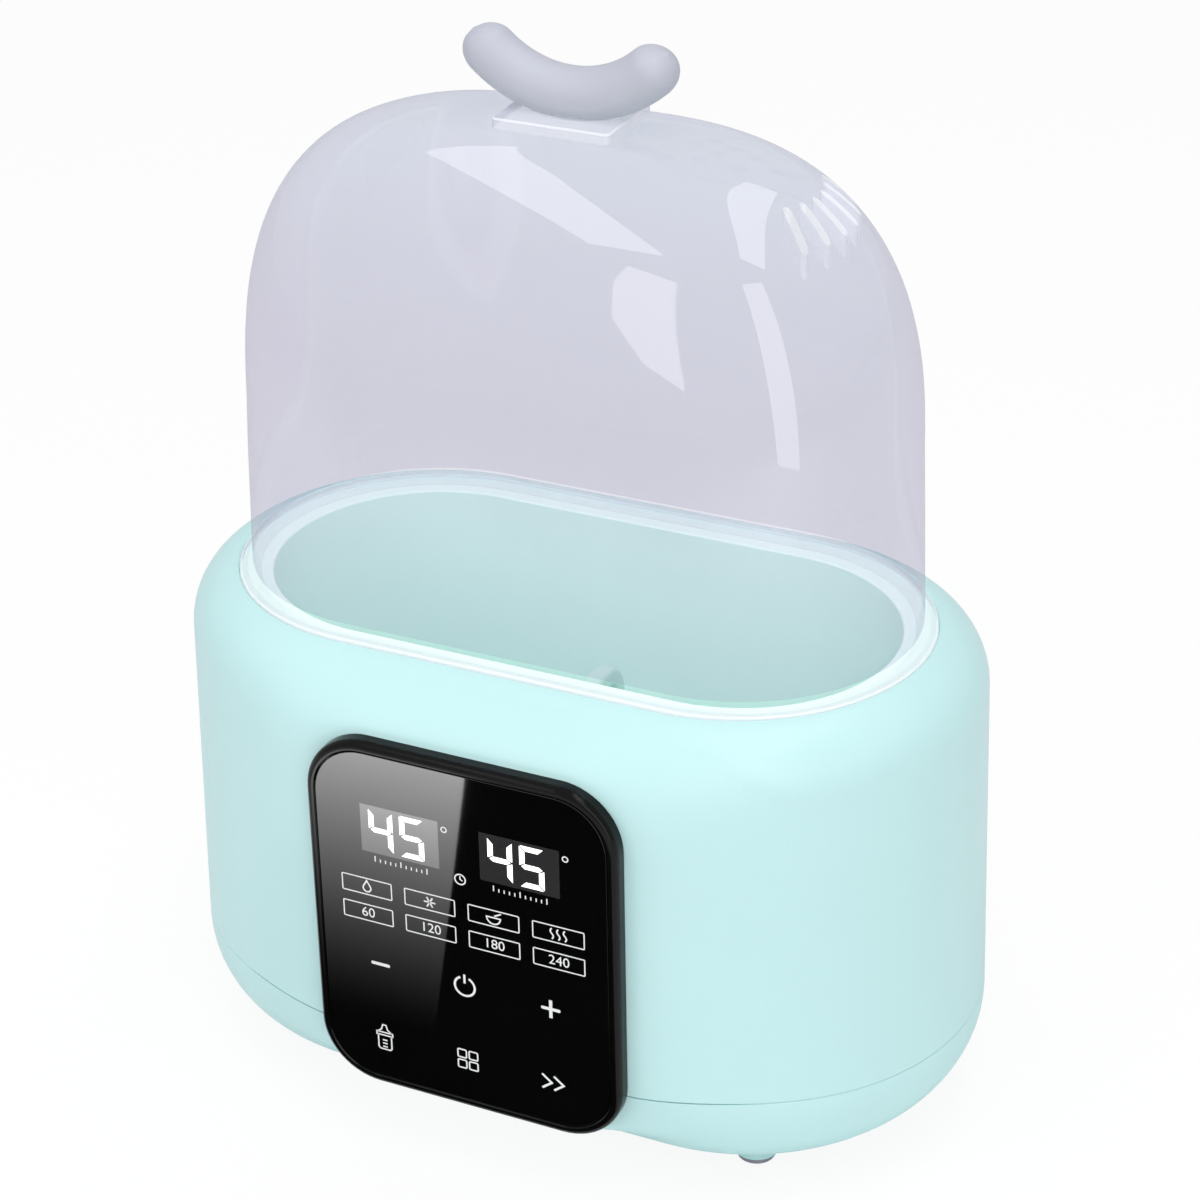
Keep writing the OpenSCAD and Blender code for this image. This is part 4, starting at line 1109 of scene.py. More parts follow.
def lens_mesh(panel, front, back):
    """Flat lens with a fine polished edge."""
    mid = (lens_low.z + lens_high.z) / 2
    width, tall = lens_high.x - lens_low.x, lens_high.z - lens_low.z
    corner = panel.corner - panel.rim
    edge = 0.25 * MM
    levels = ((0, back), (0, front + edge), (edge * 0.3, front + edge * 0.3), (edge, front))
    return lofted([frame_ring(width - 2 * inset, tall - 2 * inset, corner - inset,
                              lambda x, z: Vector((x, y, mid + z))) for inset, y in levels],
                  caps=True)


def slab(outline, front, thick):
    """Thin flat sign from its outline in the panel's plane, as (x, z) points."""
    rings = [[Vector((x, y, z)) for x, z in outline] for y in (front + thick, front)]
    return lofted(rings, caps=True)


def ribbon(points, width, front, thick, closed):
    """Thin line sign of even width along (x, z) points."""
    count, back = len(points), front + thick
    rows = []
    for i, (x, z) in enumerate(points):
        before = points[i - 1] if closed or i else points[i]
        after = points[(i + 1) % count] if closed or i < count - 1 else points[i]
        first = Vector((x - before[0], z - before[1]))
        second = Vector((after[0] - x, after[1] - z))
        first = first.normalized() if first.length else second.normalized()
        second = second.normalized() if second.length else first
        along = (first + second).normalized()
        reach = width / 2 / max(0.4, along.dot(first))
        dx, dz = -along.y * reach, along.x * reach
        rows.append([Vector((x + side * dx, y, z + side * dz)) for side, y in (
            (1, front), (-1, front), (-1, back), (1, back))])
    return lofted(rows, wrap=closed, caps=not closed)


def ring_points(x, z, radius, steps, start=0.0, sweep=2 * math.pi):
    """Points round a circle or part of one; a full turn leaves out its last point."""
    points = rounded((x, z), radius, start, start + sweep, steps)
    return points[:-1] if sweep >= 2 * math.pi else points


def box_points(x, z, width, tall, corner=0.0):
    """Outline of a small rectangle with round corners."""
    return [tuple(p) for p in frame_ring(
        width, tall, corner, lambda dx, dz: Vector((x + dx, z + dz)), 4 if corner else 1)]


DIGIT_BARS = {4: "fgbc", 5: "afgcd"}


def digit_bars(digit, x, z, panel, gap):
    """Outlines of a digit's lit bars; x and z are its lower left corner."""
    width, tall, bar = panel.digit_w, panel.digit_h, panel.digit_t
    mid, half = tall / 2, bar / 2
    upper = [(0, tall - gap), (bar, tall - bar - gap), (bar, mid + half + gap), (0, mid + gap)]
    top = [(gap, tall), (width - gap, tall), (width - bar - gap, tall - bar),
           (bar + gap, tall - bar)]
    shapes = {
        "a": top,
        "b": [(width - px, pz) for px, pz in upper],
        "c": [(width - px, tall - pz) for px, pz in upper],
        "d": [(px, tall - pz) for px, pz in top],
        "f": upper,
        "g": [(gap * 2, mid), (bar, mid + half), (width - bar, mid + half),
              (width - gap * 2, mid), (width - bar, mid - half), (bar, mid - half)],
    }
    return [[(x + px, z + pz) for px, pz in shapes[name]] for name in DIGIT_BARS[digit]]


def number_mesh(words, x, z, tall, front, thick):
    """Plain number as a thin sign, centred on (x, z)."""
    curve = bpy.data.curves.new("number", "FONT")
    curve.body, curve.size, curve.extrude = words, tall, thick / 2
    curve.align_x = curve.align_y = "CENTER"
    text = linked("number", curve)
    mesh = take_in(bmesh.new(), worked_out(text))
    bpy.data.objects.remove(text)
    bpy.data.curves.remove(curve)
    stand = Matrix.Translation((x, front + thick / 2, z)) @ Matrix.Rotation(QUARTER, 4, "X")
    bmesh.ops.transform(mesh, matrix=stand, verts=mesh.verts)
    return mesh


def loop_mesh(tank, low):
    """Lifting loop: a soft-edged square bar bent into an arch."""
    thick, soft = tank.loop_t, 1.2 * MM
    half = (tank.loop_w - thick) / 2
    top = tray_high.z - thick / 2
    bend = tank.loop_w / 4 - thick / 2
    path = [(-half, low)]
    path += rounded((bend - half, top - bend), bend, 2 * QUARTER, QUARTER, 10)
    path += rounded((half - bend, top - bend), bend, QUARTER, 0, 10)
    path.append((half, low))
    rings = []
    for i, (y, z) in enumerate(path):
        a, b = path[max(0, i - 1)], path[min(len(path) - 1, i + 1)]
        out = Vector((0, b[0] - a[0], b[1] - a[1])).normalized().cross(Vector((1, 0, 0)))
        rings.append(frame_ring(
            thick, thick, soft, lambda p, q: Vector((p, y, z)) + out * q, 4))
    return lofted(rings, caps=True)


# Operators


class PieceMaker:
    """What the operators share."""

    bl_options = {"REGISTER", "UNDO"}


def groups(context, *names):
    """The scene's sizes or colours of these names."""
    return [getattr(context.scene, "warmer_" + name) for name in names]


def mint_finish(finish):
    """The body's moulded plastic, made once."""
    name = "mint_moulding"
    made = bpy.data.materials.get(name)
    return made or moulded(name, finish.mint, 0.38, 0.012, 0.000015, 1400)


class WARMER_OT_housing(PieceMaker, bpy.types.Operator):
    """Make the upper shell with its shoulder and recess"""

    bl_idname = "warmer.housing"
    bl_label = "Housing"

    def execute(self, context):
        body, tank, finish = groups(context, "body", "tank", "finish")
        shell = placed("housing_shell", housing_mesh(body, tank), mint_finish(finish))
        fixed(shell, "base", "mint_plastic", "main_housing")
        return {"FINISHED"}


class WARMER_OT_base(PieceMaker, bpy.types.Operator):
    """Make the base pan with its slots, foot bosses, screw wells and rubber pads"""

    bl_idname = "warmer.base"
    bl_label = "Base pan and feet"

    def execute(self, context):
        body, finish = groups(context, "body", "finish")
        mint = mint_finish(finish)
        pan = placed("base_pan", pan_mesh(
            body, tongue_h=5 * MM, tongue_t=1.6 * MM, slip=0.2 * MM), mint)
        grow(pan, pan_tree(mint, 4 * (body.under_z + body.wall)),
             slots=body.slot_count, width=body.slot_w, long=body.slot_l, pitch=body.slot_pitch,
             hole=body.screw_hole_r, along=body.screw_x, across=body.screw_y)
        fixed(pan, "base", "mint_plastic", "base_cover")

        soft, sink, play, flare = 0.6 * MM, 1.8 * MM, 0.15 * MM, 2 * MM
        top = body.under_z + 2 * body.wall
        pocket_r, pocket_z = body.pad_r + play, body.pad_proud + sink
        section = [(0, top), (0, pocket_z), (pocket_r, pocket_z), (pocket_r, body.pad_proud)]
        section += low_edge(body.boss_r, body.pad_proud, soft)
        section += rounded((body.boss_r + flare, body.under_z - flare * 0.1), flare,
                           2 * QUARTER, QUARTER, 5)
        section.append((body.boss_r, top))
        bosses = four_corners("foot_bosses", section, mint, body.foot_x, body.foot_y)
        fixed(bosses, "base", "mint_plastic")

        hole, shank, outer = body.screw_hole_r, 1.6 * MM, body.screw_hole_r + 2.4 * MM
        low, seat, head = body.under_z + body.wall / 2, 13 * MM, 23 * MM
        section = [(hole, low), (outer, low), (outer, head), (shank, head), (shank, seat),
                   (hole, seat)]
        wells = four_corners("screw_wells", section, mint, body.screw_x, body.screw_y)
        fixed(wells, "base", "mint_plastic")

        rubber = moulded("grey_rubber", finish.pad, 0.7, 0.05, 0.00006, 700)
        section = [(0, 0), (body.pad_r - soft * 2, 0)]
        section += low_edge(body.pad_r, 0, soft)
        section += [(body.pad_r, pocket_z - play), (0, pocket_z - play)]
        pads = four_corners("foot_pads", section, rubber, body.foot_x, body.foot_y, wrap=False)
        fixed(pads, "base", "grey_rubber", "rubber_feet")
        return {"FINISHED"}


class WARMER_OT_tank(PieceMaker, bpy.types.Operator):
    """Make the tank that the bottles stand in"""

    bl_idname = "warmer.tank"
    bl_label = "Tank"

    def execute(self, context):
        tank, finish = groups(context, "tank", "finish")
        # The tank's colour is a paler mint than the body's: painted light for the shade inside it
        plastic = moulded("tank_lightened_moulding", finish.tank, 0.55, 0.012, 0.00001, 1200)
        bowl = placed("tank_bowl", tank_mesh(tank), plastic)
        fixed(bowl, "base", "tank_plastic", "tank_liner")
        return {"FINISHED"}


class WARMER_OT_tray(PieceMaker, bpy.types.Operator):
    """Make the lift-out tray with its drain holes, legs and loop"""

    bl_idname = "warmer.tray"
    bl_label = "Bottle tray"

    def execute(self, context):
        tank, finish = groups(context, "tank", "finish")
        satin = moulded("tray_moulding", finish.tray, 0.45, scale=1000)
        soft = 0.7 * MM
        top, middle = tank.tray_z + tank.tray_t, tank.tray_z + tank.tray_t / 2
        section = [(0, tank.tray_z), *low_edge(tank.tray_r, tank.tray_z, soft),
                   *high_edge(tank.tray_r, top, soft), (0, top)]
        tray = placed("tray_plate", oval_mesh(tank.reach, section), satin)
        grow(tray, drain_tree(satin, 4 * tank.tray_t), hole=tank.drain_r, ring=tank.drain_step,
             place=tank.bottle_x, z=middle)
        fixed(tray, "tray", "tray_plastic", "bottle_tray")

        section = [(0, tank.floor_z), *low_edge(tank.leg_r, tank.floor_z, soft),
                   (tank.leg_r, top - soft), (0, top - soft)]
        legs = four_corners("tray_legs", section, satin, tank.reach, tank.leg_y, wrap=False)
        fixed(legs, "tray", "tray_plastic")
        loop = placed("tray_loop", loop_mesh(tank, middle), satin)
        fixed(loop, "tray", "tray_plastic")
        return {"FINISHED"}


class WARMER_OT_lid(PieceMaker, bpy.types.Operator):
    """Make the smoky lid with its saddle and steam slots, and the curved handle"""

    bl_idname = "warmer.lid"
    bl_label = "Lid and handle"

    def execute(self, context):
        tank, lid, finish = groups(context, "tank", "lid", "finish")
        smoky = smoky_finish("smoky_plastic", finish, gloss=0.08, rim=0.4)
        satin = moulded("bar_moulding", finish.bar, 0.42, 0.012, scale=1000)
        bars = bar_tree(satin)
        bend = {"curve": lid.bar_curve, "span": lid.bar_span, "low": lid.bar_z}
        cradle_play = 0.12 * MM

        dome = placed("lid_dome", lid_mesh(lid, tank.reach, tank.rim_z), smoky)
        crown_z = lid.flange_z + lid.rise
        saddle = placed("saddle", saddle_mesh(lid, crown_z - lid.crown_t / 2), smoky)
        carve(dome, saddle, "UNION")
        cradle = placed("cradle", bmesh.new(), smoky)
        carve(dome, grow(cradle, bars, radius=lid.bar_r + cradle_play, **bend), "DIFFERENCE")
        grow(dome, vent_tree(smoky, depth=lid.rise / 2, z=crown_z - lid.rise / 8),
             slots=lid.vent_count, width=lid.vent_w, long=lid.vent_l, fan=lid.vent_fan,
             reach=lid.vent_reach, step=lid.vent_step, haze=lid.vent_highlight_haze)
        fixed(dome, "lid", "clear_plastic", "lid")

        handle = grow(placed("handle_bar", bmesh.new(), satin), bars, radius=lid.bar_r, **bend)
        fixed(handle, "lid", "clear_plastic", "lid_handle")
        low, soft = handle_low.z, lid.stake_t / 2
        section = [(0, low), (lid.stake_r - soft, low)]
        section += rounded((lid.stake_r - soft, low + soft), soft, -QUARTER, QUARTER, 6)
        section += [(lid.peg_r, low + lid.stake_t), (lid.peg_r, lid.bar_z), (0, lid.bar_z)]
        pegs = placed("handle_pegs", joined([
            turned(section, (x, 0, 0), steps=32, wrap=False)
            for x in (-lid.peg_x, lid.peg_x)]), smoky)
        fixed(pegs, "lid", "clear_plastic")
        return {"FINISHED"}


class WARMER_OT_panel(PieceMaker, bpy.types.Operator):
    """Make the panel's bezel and lens"""

    bl_idname = "warmer.panel"
    bl_label = "Bezel and lens"

    def execute(self, context):
        body, panel, finish = groups(context, "body", "panel", "finish")
        satin = moulded("bezel_black", finish.black, 0.16, 0.2, 0.000004)
        dull = satin.node_tree.nodes["Principled BSDF"].inputs["Specular IOR Level"]
        dull.default_value = 0.2
        gloss = moulded("lens_black", finish.black, 0.03, 0.1, 0.0000002, 80)
        front = bezel_low.y
        bezel = placed("panel_bezel", bezel_mesh(panel, body, front, lens_high.y), satin)
        fixed(bezel, "base", "black_plastic", "control_bezel")
        mint = mint_finish(finish)
        seat = placed("panel_seat", seat_mesh(panel, body, front), mint)
        seam = slab(box_points(0, body.seam_z, 4 * panel.width, panel.seam), 2 * front, -2 * front)
        carve(seat, placed("seam_cut", seam, mint), "DIFFERENCE")
        fixed(polish(seat), "base", "mint_plastic")
        lens = placed("panel_lens", lens_mesh(panel, lens_low.y, lens_high.y), gloss)
        fixed(lens, "base", "lens_plastic", "control_lens")
        return {"FINISHED"}


class WARMER_OT_signs(PieceMaker, bpy.types.Operator):
    """Make the digit windows, lit digits, key frames and signs on the lens"""

    bl_idname = "warmer.signs"
    bl_label = "Digits and signs"

    def execute(self, context):
        panel, finish = groups(context, "panel", "finish")
        self.thick = panel.print_t
        self.front = lens_low.y - self.thick
        self.line = panel.line
        white = moulded("white_print", finish.sign, 0.45, 0.03, 0.000005, 2500)
        self.make_windows(panel, finish)
        self.make_keys(panel, white)
        signs = self.main_signs(panel) + self.small_signs(panel)
        fixed(placed("panel_signs", joined(signs), white), "base", "display_resin")
        return {"FINISHED"}

    def stroke(self, points, closed=False, bold=1.0):
        """A line sign on the lens."""
        return ribbon(points, self.line * bold, self.front, self.thick, closed)

    def fill(self, *outline):
        """A filled rectangle on the lens."""
        return slab(box_points(*outline), self.front, self.thick)

    def make_windows(self, panel, finish):
        """Two grey windows with a lit number in each."""
        dim = moulded("window_grey", finish.window, 0.04, 0.04, 0.0000002, 80)
        dim.node_tree.nodes["Principled BSDF"].inputs["IOR"].default_value = 1.75
        lit = lit_finish("lit_digits", (1, 1, 1), 1)
        half, margin, gap = self.thick / 2, 2.4 * MM, 0.24 * MM
        step = panel.digit_w + 2 * MM
        low = panel.window_z - panel.digit_h / 2
        panes, bars = [], []
        for x in (-panel.window_x, panel.window_x):
            panes.append(slab(box_points(x, panel.window_z, panel.window_w, panel.window_h),
                              lens_low.y - half, half))
            start = x - panel.window_w / 2 + margin
            for place, digit in enumerate((4, 5)):
                bars += [slab(outline, self.front, half) for outline in digit_bars(
                    digit, start + place * step, low, panel, gap)]
        fixed(placed("digit_windows", joined(panes), dim), "base", "lens_plastic")
        fixed(placed("lit_digits", joined(bars), lit), "base", "display_resin")

    def make_keys(self, panel, white):
        """Two rows of framed keys with pictures above and amounts below."""
        outline = box_points(0, 0, panel.key_w, panel.key_h, 0.3 * MM)
        frames = placed("key_frames", ribbon(
            outline, self.line * 0.8, 0, self.thick, closed=True), white)
        grow(frames, key_tree(white, 4, 2), step=panel.key_step, drop=panel.key_drop,
             depth=self.front, z=panel.key_top - panel.key_drop / 2)
        fixed(frames, "base", "display_resin")

        xs = [(i - 1.5) * panel.key_step for i in range(4)]
        z, s = panel.key_top, panel.key_h / 2
        drop = [(xs[0], z + s * 0.72)] + ring_points(
            xs[0], z - s * 0.2, s * 0.46, 16, math.radians(30), math.radians(-240))
        pictures = [self.stroke(drop, closed=True)]
        for k in range(3):
            c, d = (f(math.pi * k / 3) * s * 0.68 for f in (math.cos, math.sin))
            pictures.append(self.stroke([(xs[1] - c, z - d), (xs[1] + c, z + d)]))
        bowl = ring_points(xs[2], z + s * 0.1, s * 0.8, 16, math.pi, math.pi)
        spoon = [(xs[2] + s * 0.1, z + s * 0.3), (xs[2] + s * 0.9, z + s * 0.75)]
        pictures += [self.stroke(bowl, closed=True), self.stroke(spoon)]
        for k in (-1, 0, 1):
            pictures.append(self.stroke([
                (xs[3] + k * s * 0.75 + 0.18 * s * math.sin(i * 0.9), z - s * 0.65 + i * s * 0.186)
                for i in range(8)]))
        for amount, x in zip(("60", "120", "180", "240"), xs):
            pictures.append(number_mesh(amount, x, z - panel.key_drop, panel.key_h * 0.82,
                                        self.front, self.thick))
        fixed(placed("key_pictures", joined(pictures), white), "base", "display_resin")

    def main_signs(self, panel):
        """Minus, plus, power, bottle, squares and arrows."""
        bold, half = self.line * 2.2, 2.75 * MM
        left, right, top, low = -panel.sign_step, panel.sign_step, panel.sign_top, panel.sign_low
        signs = [self.fill(x, top, 2 * half, bold, bold * 0.4) for x in (left, right)]
        for side in (-1, 1):
            signs.append(self.fill(
                right, top + side * (half + bold / 2) / 2, bold, half - bold / 2))
        power = ring_points(0, top, half * 1.05, 40, math.radians(115), math.radians(310))
        signs += [self.stroke(power, bold=1.5),
                  self.stroke([(0, top + half * 0.35), (0, top + half * 1.35)], bold=1.5)]

        w, h, soft = 1.95 * MM, 3.9 * MM, 0.5 * MM
        neck = low + h * 0.15
        collar_z, teat_z = neck + 0.9 * MM, neck + 1.9 * MM
        foot = low - h
        halves = {
            "bottle": [(w, neck), (w, foot + soft), (w - soft, foot)],
            "collar": [(w * 1.2, neck), (w * 1.2, collar_z)],
            "teat": [(w * 1.05, collar_z), (w * 0.45, teat_z), (w * 0.25, low + h)],
        }
        for name, edge in halves.items():
            outline = [(left - x, z) for x, z in edge] + [(left + x, z) for x, z in edge[::-1]]
            signs.append(self.stroke(outline, closed=name == "collar"))
        for k in range(3):
            mark = low - h * 0.25 - k * 1.05 * MM
            signs.append(self.stroke([(left - w * 0.35, mark), (left + w * 0.35, mark)]))

        cell = 2.5 * MM
        for sx in (-1, 1):
            for sz in (-1, 1):
                signs.append(self.stroke(box_points(
                    sx * cell * 0.66, low + sz * cell * 0.66, cell, cell, 0.4 * MM), closed=True))
        for k in (-0.62, 0.62):
            tip = right + k * half
            signs.append(self.stroke([
                (tip + dx * half, low + dz * half)
                for dx, dz in ((-0.5, 0.8), (0.5, 0), (-0.5, -0.8))], bold=1.5))
        return signs

    def small_signs(self, panel):
        """A scale below each window, a degree ring beside it and a clock between them."""
        signs = []
        under = panel.window_z - panel.window_h / 2
        base = under - 2.6 * MM
        for x in (-panel.window_x, panel.window_x):
            for k in range(11):
                tall = (1.7 if k % 5 == 0 else 1.0) * MM
                signs.append(self.fill(
                    x + (k - 5) * 1.5 * MM, base + tall / 2, self.line * 0.8, tall))
            degree = ring_points(x + panel.window_w / 2 + 1.7 * MM,
                                 panel.window_z + panel.window_h * 0.36, 0.75 * MM, 20)
            signs.append(self.stroke(degree, closed=True, bold=0.8))
        z = under - 1.6 * MM
        hands = [(0, z + 0.95 * MM), (0, z), (0.7 * MM, z - 0.3 * MM)]
        return signs + [self.stroke(ring_points(0, z, 1.5 * MM, 28), closed=True, bold=0.9),
                        self.stroke(hands, bold=0.8)]


class WARMER_OT_gland(PieceMaker, bpy.types.Operator):
    """Make the bushing for the mains cord in the rear wall"""

    bl_idname = "warmer.gland"
    bl_label = "Cord bushing"

    def execute(self, context):
        nylon = moulded("white_nylon", (0.78, 0.84, 0.84), 0.5, 0.02, 0.00003)
        collar = gland_high.x
        neck, bore = collar * 2 / 3, collar / 3
        seat, end, tip = gland_high.y - 7.4 * MM, gland_low.y, gland_high.y
        lock, flange = end + bore, seat + 2.47 * MM
        soft, groove, taper = 0.5 * MM, 0.55 * MM, 0.2 * MM
        section = [(bore, end), (collar - soft, end), (collar, end + soft), (collar, lock),
                   (neck, lock), (neck, seat), (collar, seat)]
        section += high_edge(collar, flange, soft)
        section.append((neck, flange))
        for k in range(3):
            along, rib = seat + (3.2 + 1.25 * k) * MM, neck - taper * k
            section += [(rib, along), (rib - groove, along + 0.15 * MM),
                        (rib - groove, along + 0.6 * MM), (rib - taper, along + 0.75 * MM)]
        section += high_edge(neck - bore / 3, tip, soft)
        section += [(bore + soft, tip), (bore, tip - soft)]
        middle = (0, 0, (gland_low.z + gland_high.z) / 2)
        bushing = placed("cord_bushing", turned(section, middle, axis="Y", steps=48), nylon)
        fixed(bushing, "base", "white_nylon", "cord_gland")
        return {"FINISHED"}


class WARMER_OT_inner_parts(PieceMaker, bpy.types.Operator):
    """Give the heater, boards, wires and screws inside the body their finishes"""

    bl_idname = "warmer.inner_parts"
    bl_label = "Inner parts"

    def execute(self, context):
        zinc = metal("zinc_plate", (0.62, 0.64, 0.67), 0.32, (1, 1, 6))
        brass = metal("plain_brass", (0.62, 0.43, 0.17), 0.3)
        board = circuit_finish("green_board", (0.12, 0.3, 0.12), (0.02, 0.11, 0.045))
        dark = moulded("black_resin", (0.012, 0.012, 0.014), 0.5, 0.2, 0.00003)
        resin = moulded("display_resin", (0.69, 0.71, 0.75), 0.35, 0.03)
        tape = ((0.67, 0.54, 0.1), (0.45, 0.34, 0.05))
        cores = ((0.33, 0.35, 0.39), (0.22, 0.23, 0.26))
        finishes = {
            "base_screws": zinc, "heater_clamp": zinc, "heater_screws": zinc,
            "board_screws": zinc, "bezel_screws": zinc,
            "heating_element": metal("heated_tube", (0.27, 0.25, 0.24), 0.45),
            "heating_plate": metal("satin_plate", (0.62, 0.63, 0.65), 0.38, (1, 8, 1)),
            "thermal_fuse": brass, "ntc_sensor": brass,
            "power_board": board, "display_board": board,
            "thermostat": dark, "filter_capacitor": dark, "buzzer": dark,
            "tank_seal": moulded("pale_silicone", (0.8, 0.77, 0.7), 0.55),
            "relay": moulded("blue_case", (0.025, 0.11, 0.39), 0.4, 0.05),
            "terminal_block": moulded("green_case", (0.05, 0.27, 0.1), 0.42, 0.05),
            "transformer": banded("winding_tape", tape, 260, 0.4, "Z"),
            "heater_leads": moulded("glass_sleeve", (0.78, 0.75, 0.68), 0.75, 0.08, 0.0001),
            "mains_leads": moulded("brown_sleeve", (0.19, 0.07, 0.032), 0.4, 0.06),
            "ribbon_cable": banded("ribbon_cores", cores, 390, 0.45, "X"),
            "touch_pads": moulded("touch_foam", (0.05, 0.053, 0.06), 0.9, 0.25, 0.0002, 600),
            "digit_display_left": resin, "digit_display_right": resin,
        }
        for name, material in finishes.items():
            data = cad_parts[name].data
            data.materials.clear()
            data.materials.append(material)
        return {"FINISHED"}


# Lit cards that the lid mirrors, like the windows of a bright room
WINDOWS = {
    "upper_left_window": [
        (-0.482, -0.599, 0.944), (-0.467, -0.498, 1.024), (-0.433, -0.325, 1.119),
        (-0.41, -0.64, 0.93), (-0.38, -0.785, 0.769), (-0.345, -0.868, 0.636),
        (-0.386, -0.86, 0.632), (-0.435, -0.768, 0.771)],
    "lower_left_window": [
        (-0.37, -0.904, 0.53), (-0.364, -0.887, 0.581), (-0.336, -0.903, 0.556),
        (-0.322, -0.965, 0.28), (-0.347, -0.955, 0.327), (-0.368, -0.933, 0.426)],
    "overhead_window": [
        (0.099, 0.542, 1.098), (0.262, 0.582, 1.045),
        (0.476, -0.669, 0.894), (0.174, -0.793, 0.883)],
    "right_window": [
        (0.144, -0.903, 0.725), (0.422, -0.776, 0.804),
        (0.642, -0.488, 0.023), (0.505, -0.631, 0.067)],
}
WINDOW_GLOW = 2.5
# Name, azimuth off the front, elevation, distance, width, height and radiance of each lamp
SOFTBOXES = (
    ("left_softbox", -31, 25, 1.15, 0.5, 0.6, 1.25),
    ("right_softbox", 40, 20, 1.2, 0.5, 0.9, 1),
    ("top_softbox", 10, 78, 1.25, 0.9, 0.9, 2.5),
)
# Where the lamps aim, and the even light of the room
AIM = Vector((0, 0, 0.2))
ROOM_LIGHT, ROOM_GLOW = (0.96, 0.98, 1, 1), 0.62
# Half the floor's width, its colour, and the share of plain white in it as it is seen
FLOOR_HALF = 6
FLOOR_GREY, FLOOR_WHITE = (0.9, 0.9, 0.9, 1), 0.9
# What the polished lens mirrors low in front of it, and how the lit card fades
DARK_CARD = [(-0.17, -0.264, 0.001), (0.06, -0.264, 0.001),
             (0.06, -0.085, 0.001), (-0.17, -0.085, 0.001)]
LIT_CARD = [(-0.17, -0.262, 0.002), (-0.0987, -0.262, 0.002),
            (-0.036, -0.12, 0.002), (-0.17, -0.12, 0.002)]
LIT_NEAR, LIT_FAR, LIT_GLOW = -0.12, -0.245, 7


def way_to(azimuth, elevation):
    """Direction towards an azimuth off the front and an elevation, in radians."""
    return Vector((math.sin(azimuth) * math.cos(elevation),
                   -math.cos(azimuth) * math.cos(elevation), math.sin(elevation)))


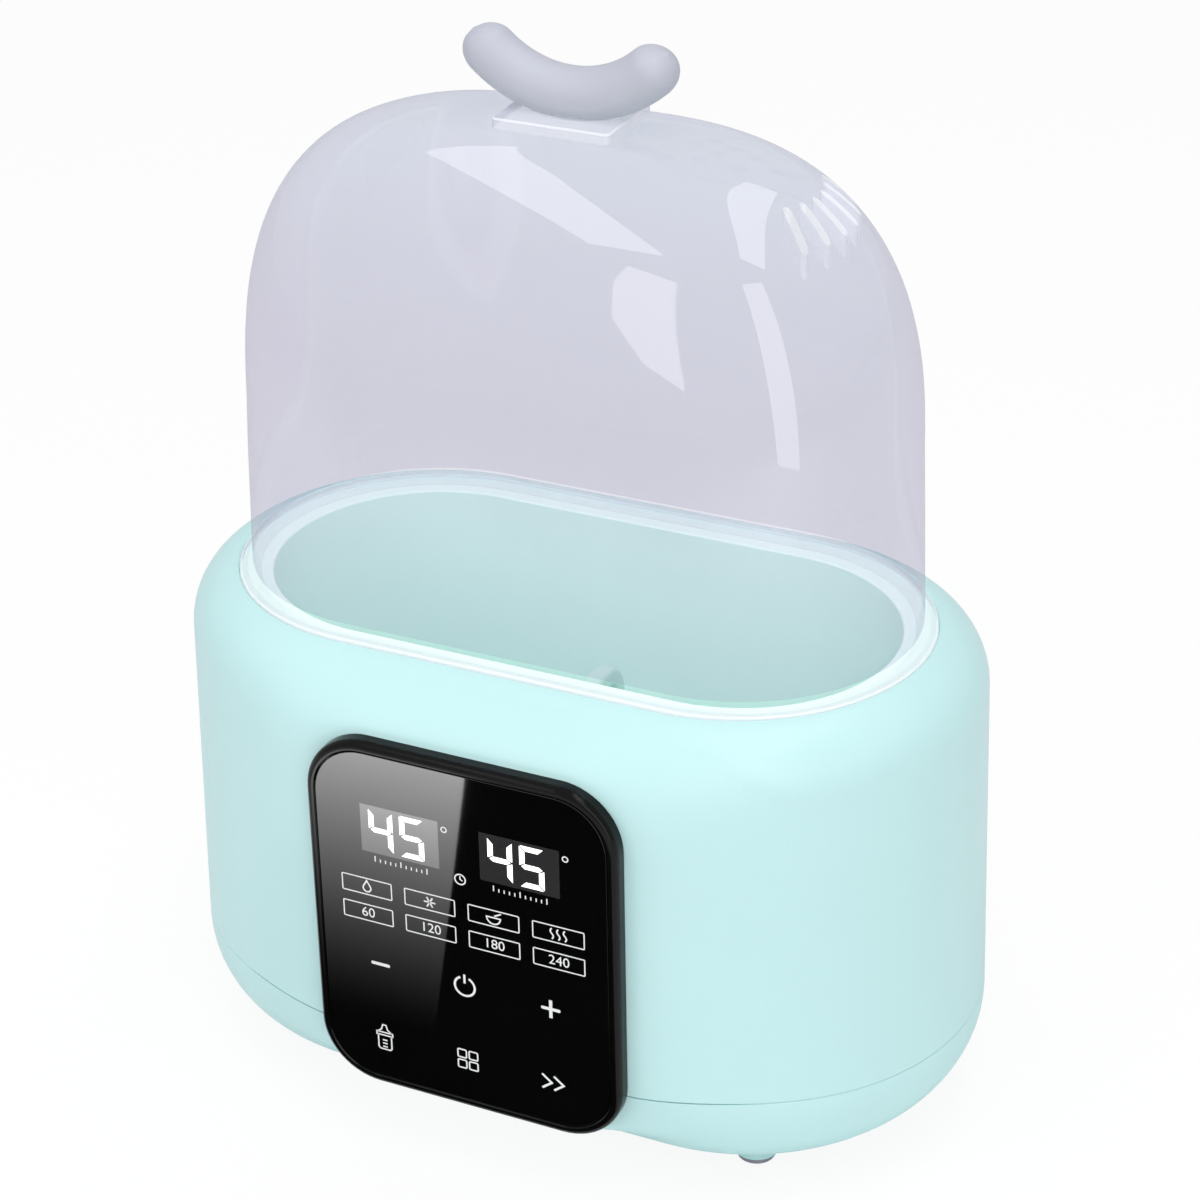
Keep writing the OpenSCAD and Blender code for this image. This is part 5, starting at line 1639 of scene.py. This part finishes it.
class WARMER_OT_studio(PieceMaker, bpy.types.Operator):
    """Set up the floor, the soft lights and the camera"""

    bl_idname = "warmer.studio"
    bl_label = "Studio"

    def execute(self, context):
        scene = context.scene
        scene.view_settings.view_transform = "Standard"
        scene.cycles.transparent_max_bounces = CLEAR_WALLS
        scene.cycles.diffuse_bounces = TANK_BOUNCES
        self.make_world(scene)
        self.make_floor()
        self.make_glare_cards()
        for lamp in SOFTBOXES:
            self.softbox(*lamp)
        self.make_windows()
        self.make_camera(scene)
        return {"FINISHED"}

    def make_world(self, scene):
        """Even soft light, with a plain white background to look at."""
        world = bpy.data.worlds.new("studio")
        scene.world = world
        world.use_nodes = True
        tree = Tree(world.node_tree)
        light = tree.nodes["Background"]
        tree.feed(light, {"Color": ROOM_LIGHT, "Strength": ROOM_GLOW})
        white = tree.add("ShaderNodeBackground", {"Color": WHITE})
        tree.show(tree.layer(self.seen(tree), light.outputs[0], white), "World Output")

    def seen(self, tree):
        """1 for what is looked at, directly or through the lid."""
        return tree.rays("Camera", "Transmission")

    def make_floor(self):
        """Pale floor that keeps the shadow and is white away from it."""
        material, tree, shader = blank_finish("pale_floor")
        tree.feed(shader, {
            "Base Color": FLOOR_GREY, "Roughness": 0.9, "Specular IOR Level": 0})
        share = tree.times(self.seen(tree), FLOOR_WHITE)
        tree.show(tree.layer(share, shader.outputs[0], tree.add("ShaderNodeEmission")))
        self.card("floor", [(x * FLOOR_HALF, y * FLOOR_HALF, 0) for x, y in (
            (-1, -1), (1, -1), (1, 1), (-1, 1))], material)

    def card(self, name, corners, material, **visible):
        """A flat piece of the studio."""
        mesh = bpy.data.meshes.new(name)
        mesh.from_pydata(corners, [], [tuple(range(len(corners)))])
        mesh.materials.append(material)
        card = linked(name, mesh)
        for kind, shown in visible.items():
            setattr(card, "visible_" + kind, shown)

    def make_glare_cards(self):
        """Cards on the floor that only the polished lens mirrors: one dark, one lit."""
        dark, tree, shader = blank_finish("dark_card")
        tree.feed(shader, {"Base Color": (0, 0, 0, 1), "Specular IOR Level": 0})
        lit, tree, _ = blank_finish("lit_card")
        fade = tree.add("ShaderNodeMapRange", {
            "Value": tree.along("Y"), "From Min": LIT_NEAR, "From Max": LIT_FAR}, clamp=False)
        glow = tree.times(tree.sum("POWER", fade, 2), LIT_GLOW)
        tree.show(tree.add("ShaderNodeEmission", {"Strength": glow}))
        mirrored = dict.fromkeys(
            ("camera", "diffuse", "transmission", "volume_scatter", "shadow"), False)
        self.card("dark_card", DARK_CARD, dark, **mirrored)
        self.card("lit_card", LIT_CARD, lit, **mirrored)

    def softbox(self, name, azimuth, elevation, distance, width, tall, radiance):
        """Area light aimed at the lid from an azimuth off the front and an elevation."""
        way = way_to(math.radians(azimuth), math.radians(elevation))
        lamp = bpy.data.lights.new(name, "AREA")
        lamp.shape, lamp.size, lamp.size_y = "RECTANGLE", width, tall
        lamp.energy = radiance * math.pi * width * tall
        light = linked(name, lamp)
        light.location = AIM + way * distance
        light.rotation_euler = way.to_track_quat("Z", "Y").to_euler()
        light.visible_camera = light.visible_glossy = False

    def make_windows(self):
        """Lit cards that only show as mirrored by the lid."""
        material, tree, _ = blank_finish("lit_window")
        tree.show(tree.add("ShaderNodeEmission", {"Strength": WINDOW_GLOW}))
        for name, corners in WINDOWS.items():
            self.card(name, corners, material, camera=False, shadow=False)

    def make_camera(self, scene):
        """Camera at the photograph's viewing angle."""
        azimuth, elevation, roll = (math.radians(v) for v in (26.12, 28.064, -1.285))
        distance, target = 0.865669, Vector((0, 0, 0.14324))
        back = way_to(azimuth, elevation)
        right = Vector((math.cos(azimuth), math.sin(azimuth), 0))
        up = back.cross(right)
        right, up = (right * math.cos(roll) + up * math.sin(roll),
                     up * math.cos(roll) - right * math.sin(roll))
        lens = bpy.data.cameras.new("camera")
        lens.sensor_width, lens.lens, lens.clip_start = 36, 98.33, 0.01
        lens.shift_x, lens.shift_y = 0.01512, -0.01683
        camera = linked("camera", lens)
        turn = Matrix((right, up, back)).transposed().to_4x4()
        camera.matrix_world = Matrix.Translation(target + back * distance) @ turn
        scene.camera = camera


class WARMER_PT_panel(bpy.types.Panel):
    """Lists the operators in the sidebar"""

    bl_idname = "WARMER_PT_panel"
    bl_label = "Bottle warmer"
    bl_space_type = "VIEW_3D"
    bl_region_type = "UI"
    bl_category = "Warmer"

    def draw(self, context):
        for operator in OPERATORS:
            self.layout.operator(operator.bl_idname)


OPERATORS = (
    WARMER_OT_housing, WARMER_OT_base, WARMER_OT_tank, WARMER_OT_tray, WARMER_OT_lid,
    WARMER_OT_panel, WARMER_OT_signs, WARMER_OT_gland, WARMER_OT_inner_parts, WARMER_OT_studio,
)
GROUPS = {
    "warmer_body": WarmerBody, "warmer_tank": WarmerTank, "warmer_lid": WarmerLid,
    "warmer_panel": WarmerPanel, "warmer_finish": WarmerFinish,
}


def register():
    """Registers the property groups, the operators and the sidebar panel."""
    for name, group in GROUPS.items():
        bpy.utils.register_class(group)
        setattr(bpy.types.Scene, name, PointerProperty(type=group))
    for item in (*OPERATORS, WARMER_PT_panel):
        bpy.utils.register_class(item)


def unregister():
    """Takes back what register added."""
    for item in reversed((*OPERATORS, WARMER_PT_panel)):
        bpy.utils.unregister_class(item)
    for name, group in reversed(GROUPS.items()):
        delattr(bpy.types.Scene, name)
        bpy.utils.unregister_class(group)


def main():
    """Builds every piece and the studio."""
    register()
    bpy.ops.warmer.housing()
    bpy.ops.warmer.base()
    bpy.ops.warmer.tank()
    bpy.ops.warmer.tray()
    bpy.ops.warmer.lid()
    bpy.ops.warmer.panel()
    bpy.ops.warmer.signs()
    bpy.ops.warmer.gland()
    bpy.ops.warmer.inner_parts()
    bpy.ops.warmer.studio()


if __name__ == "__main__":
    main()
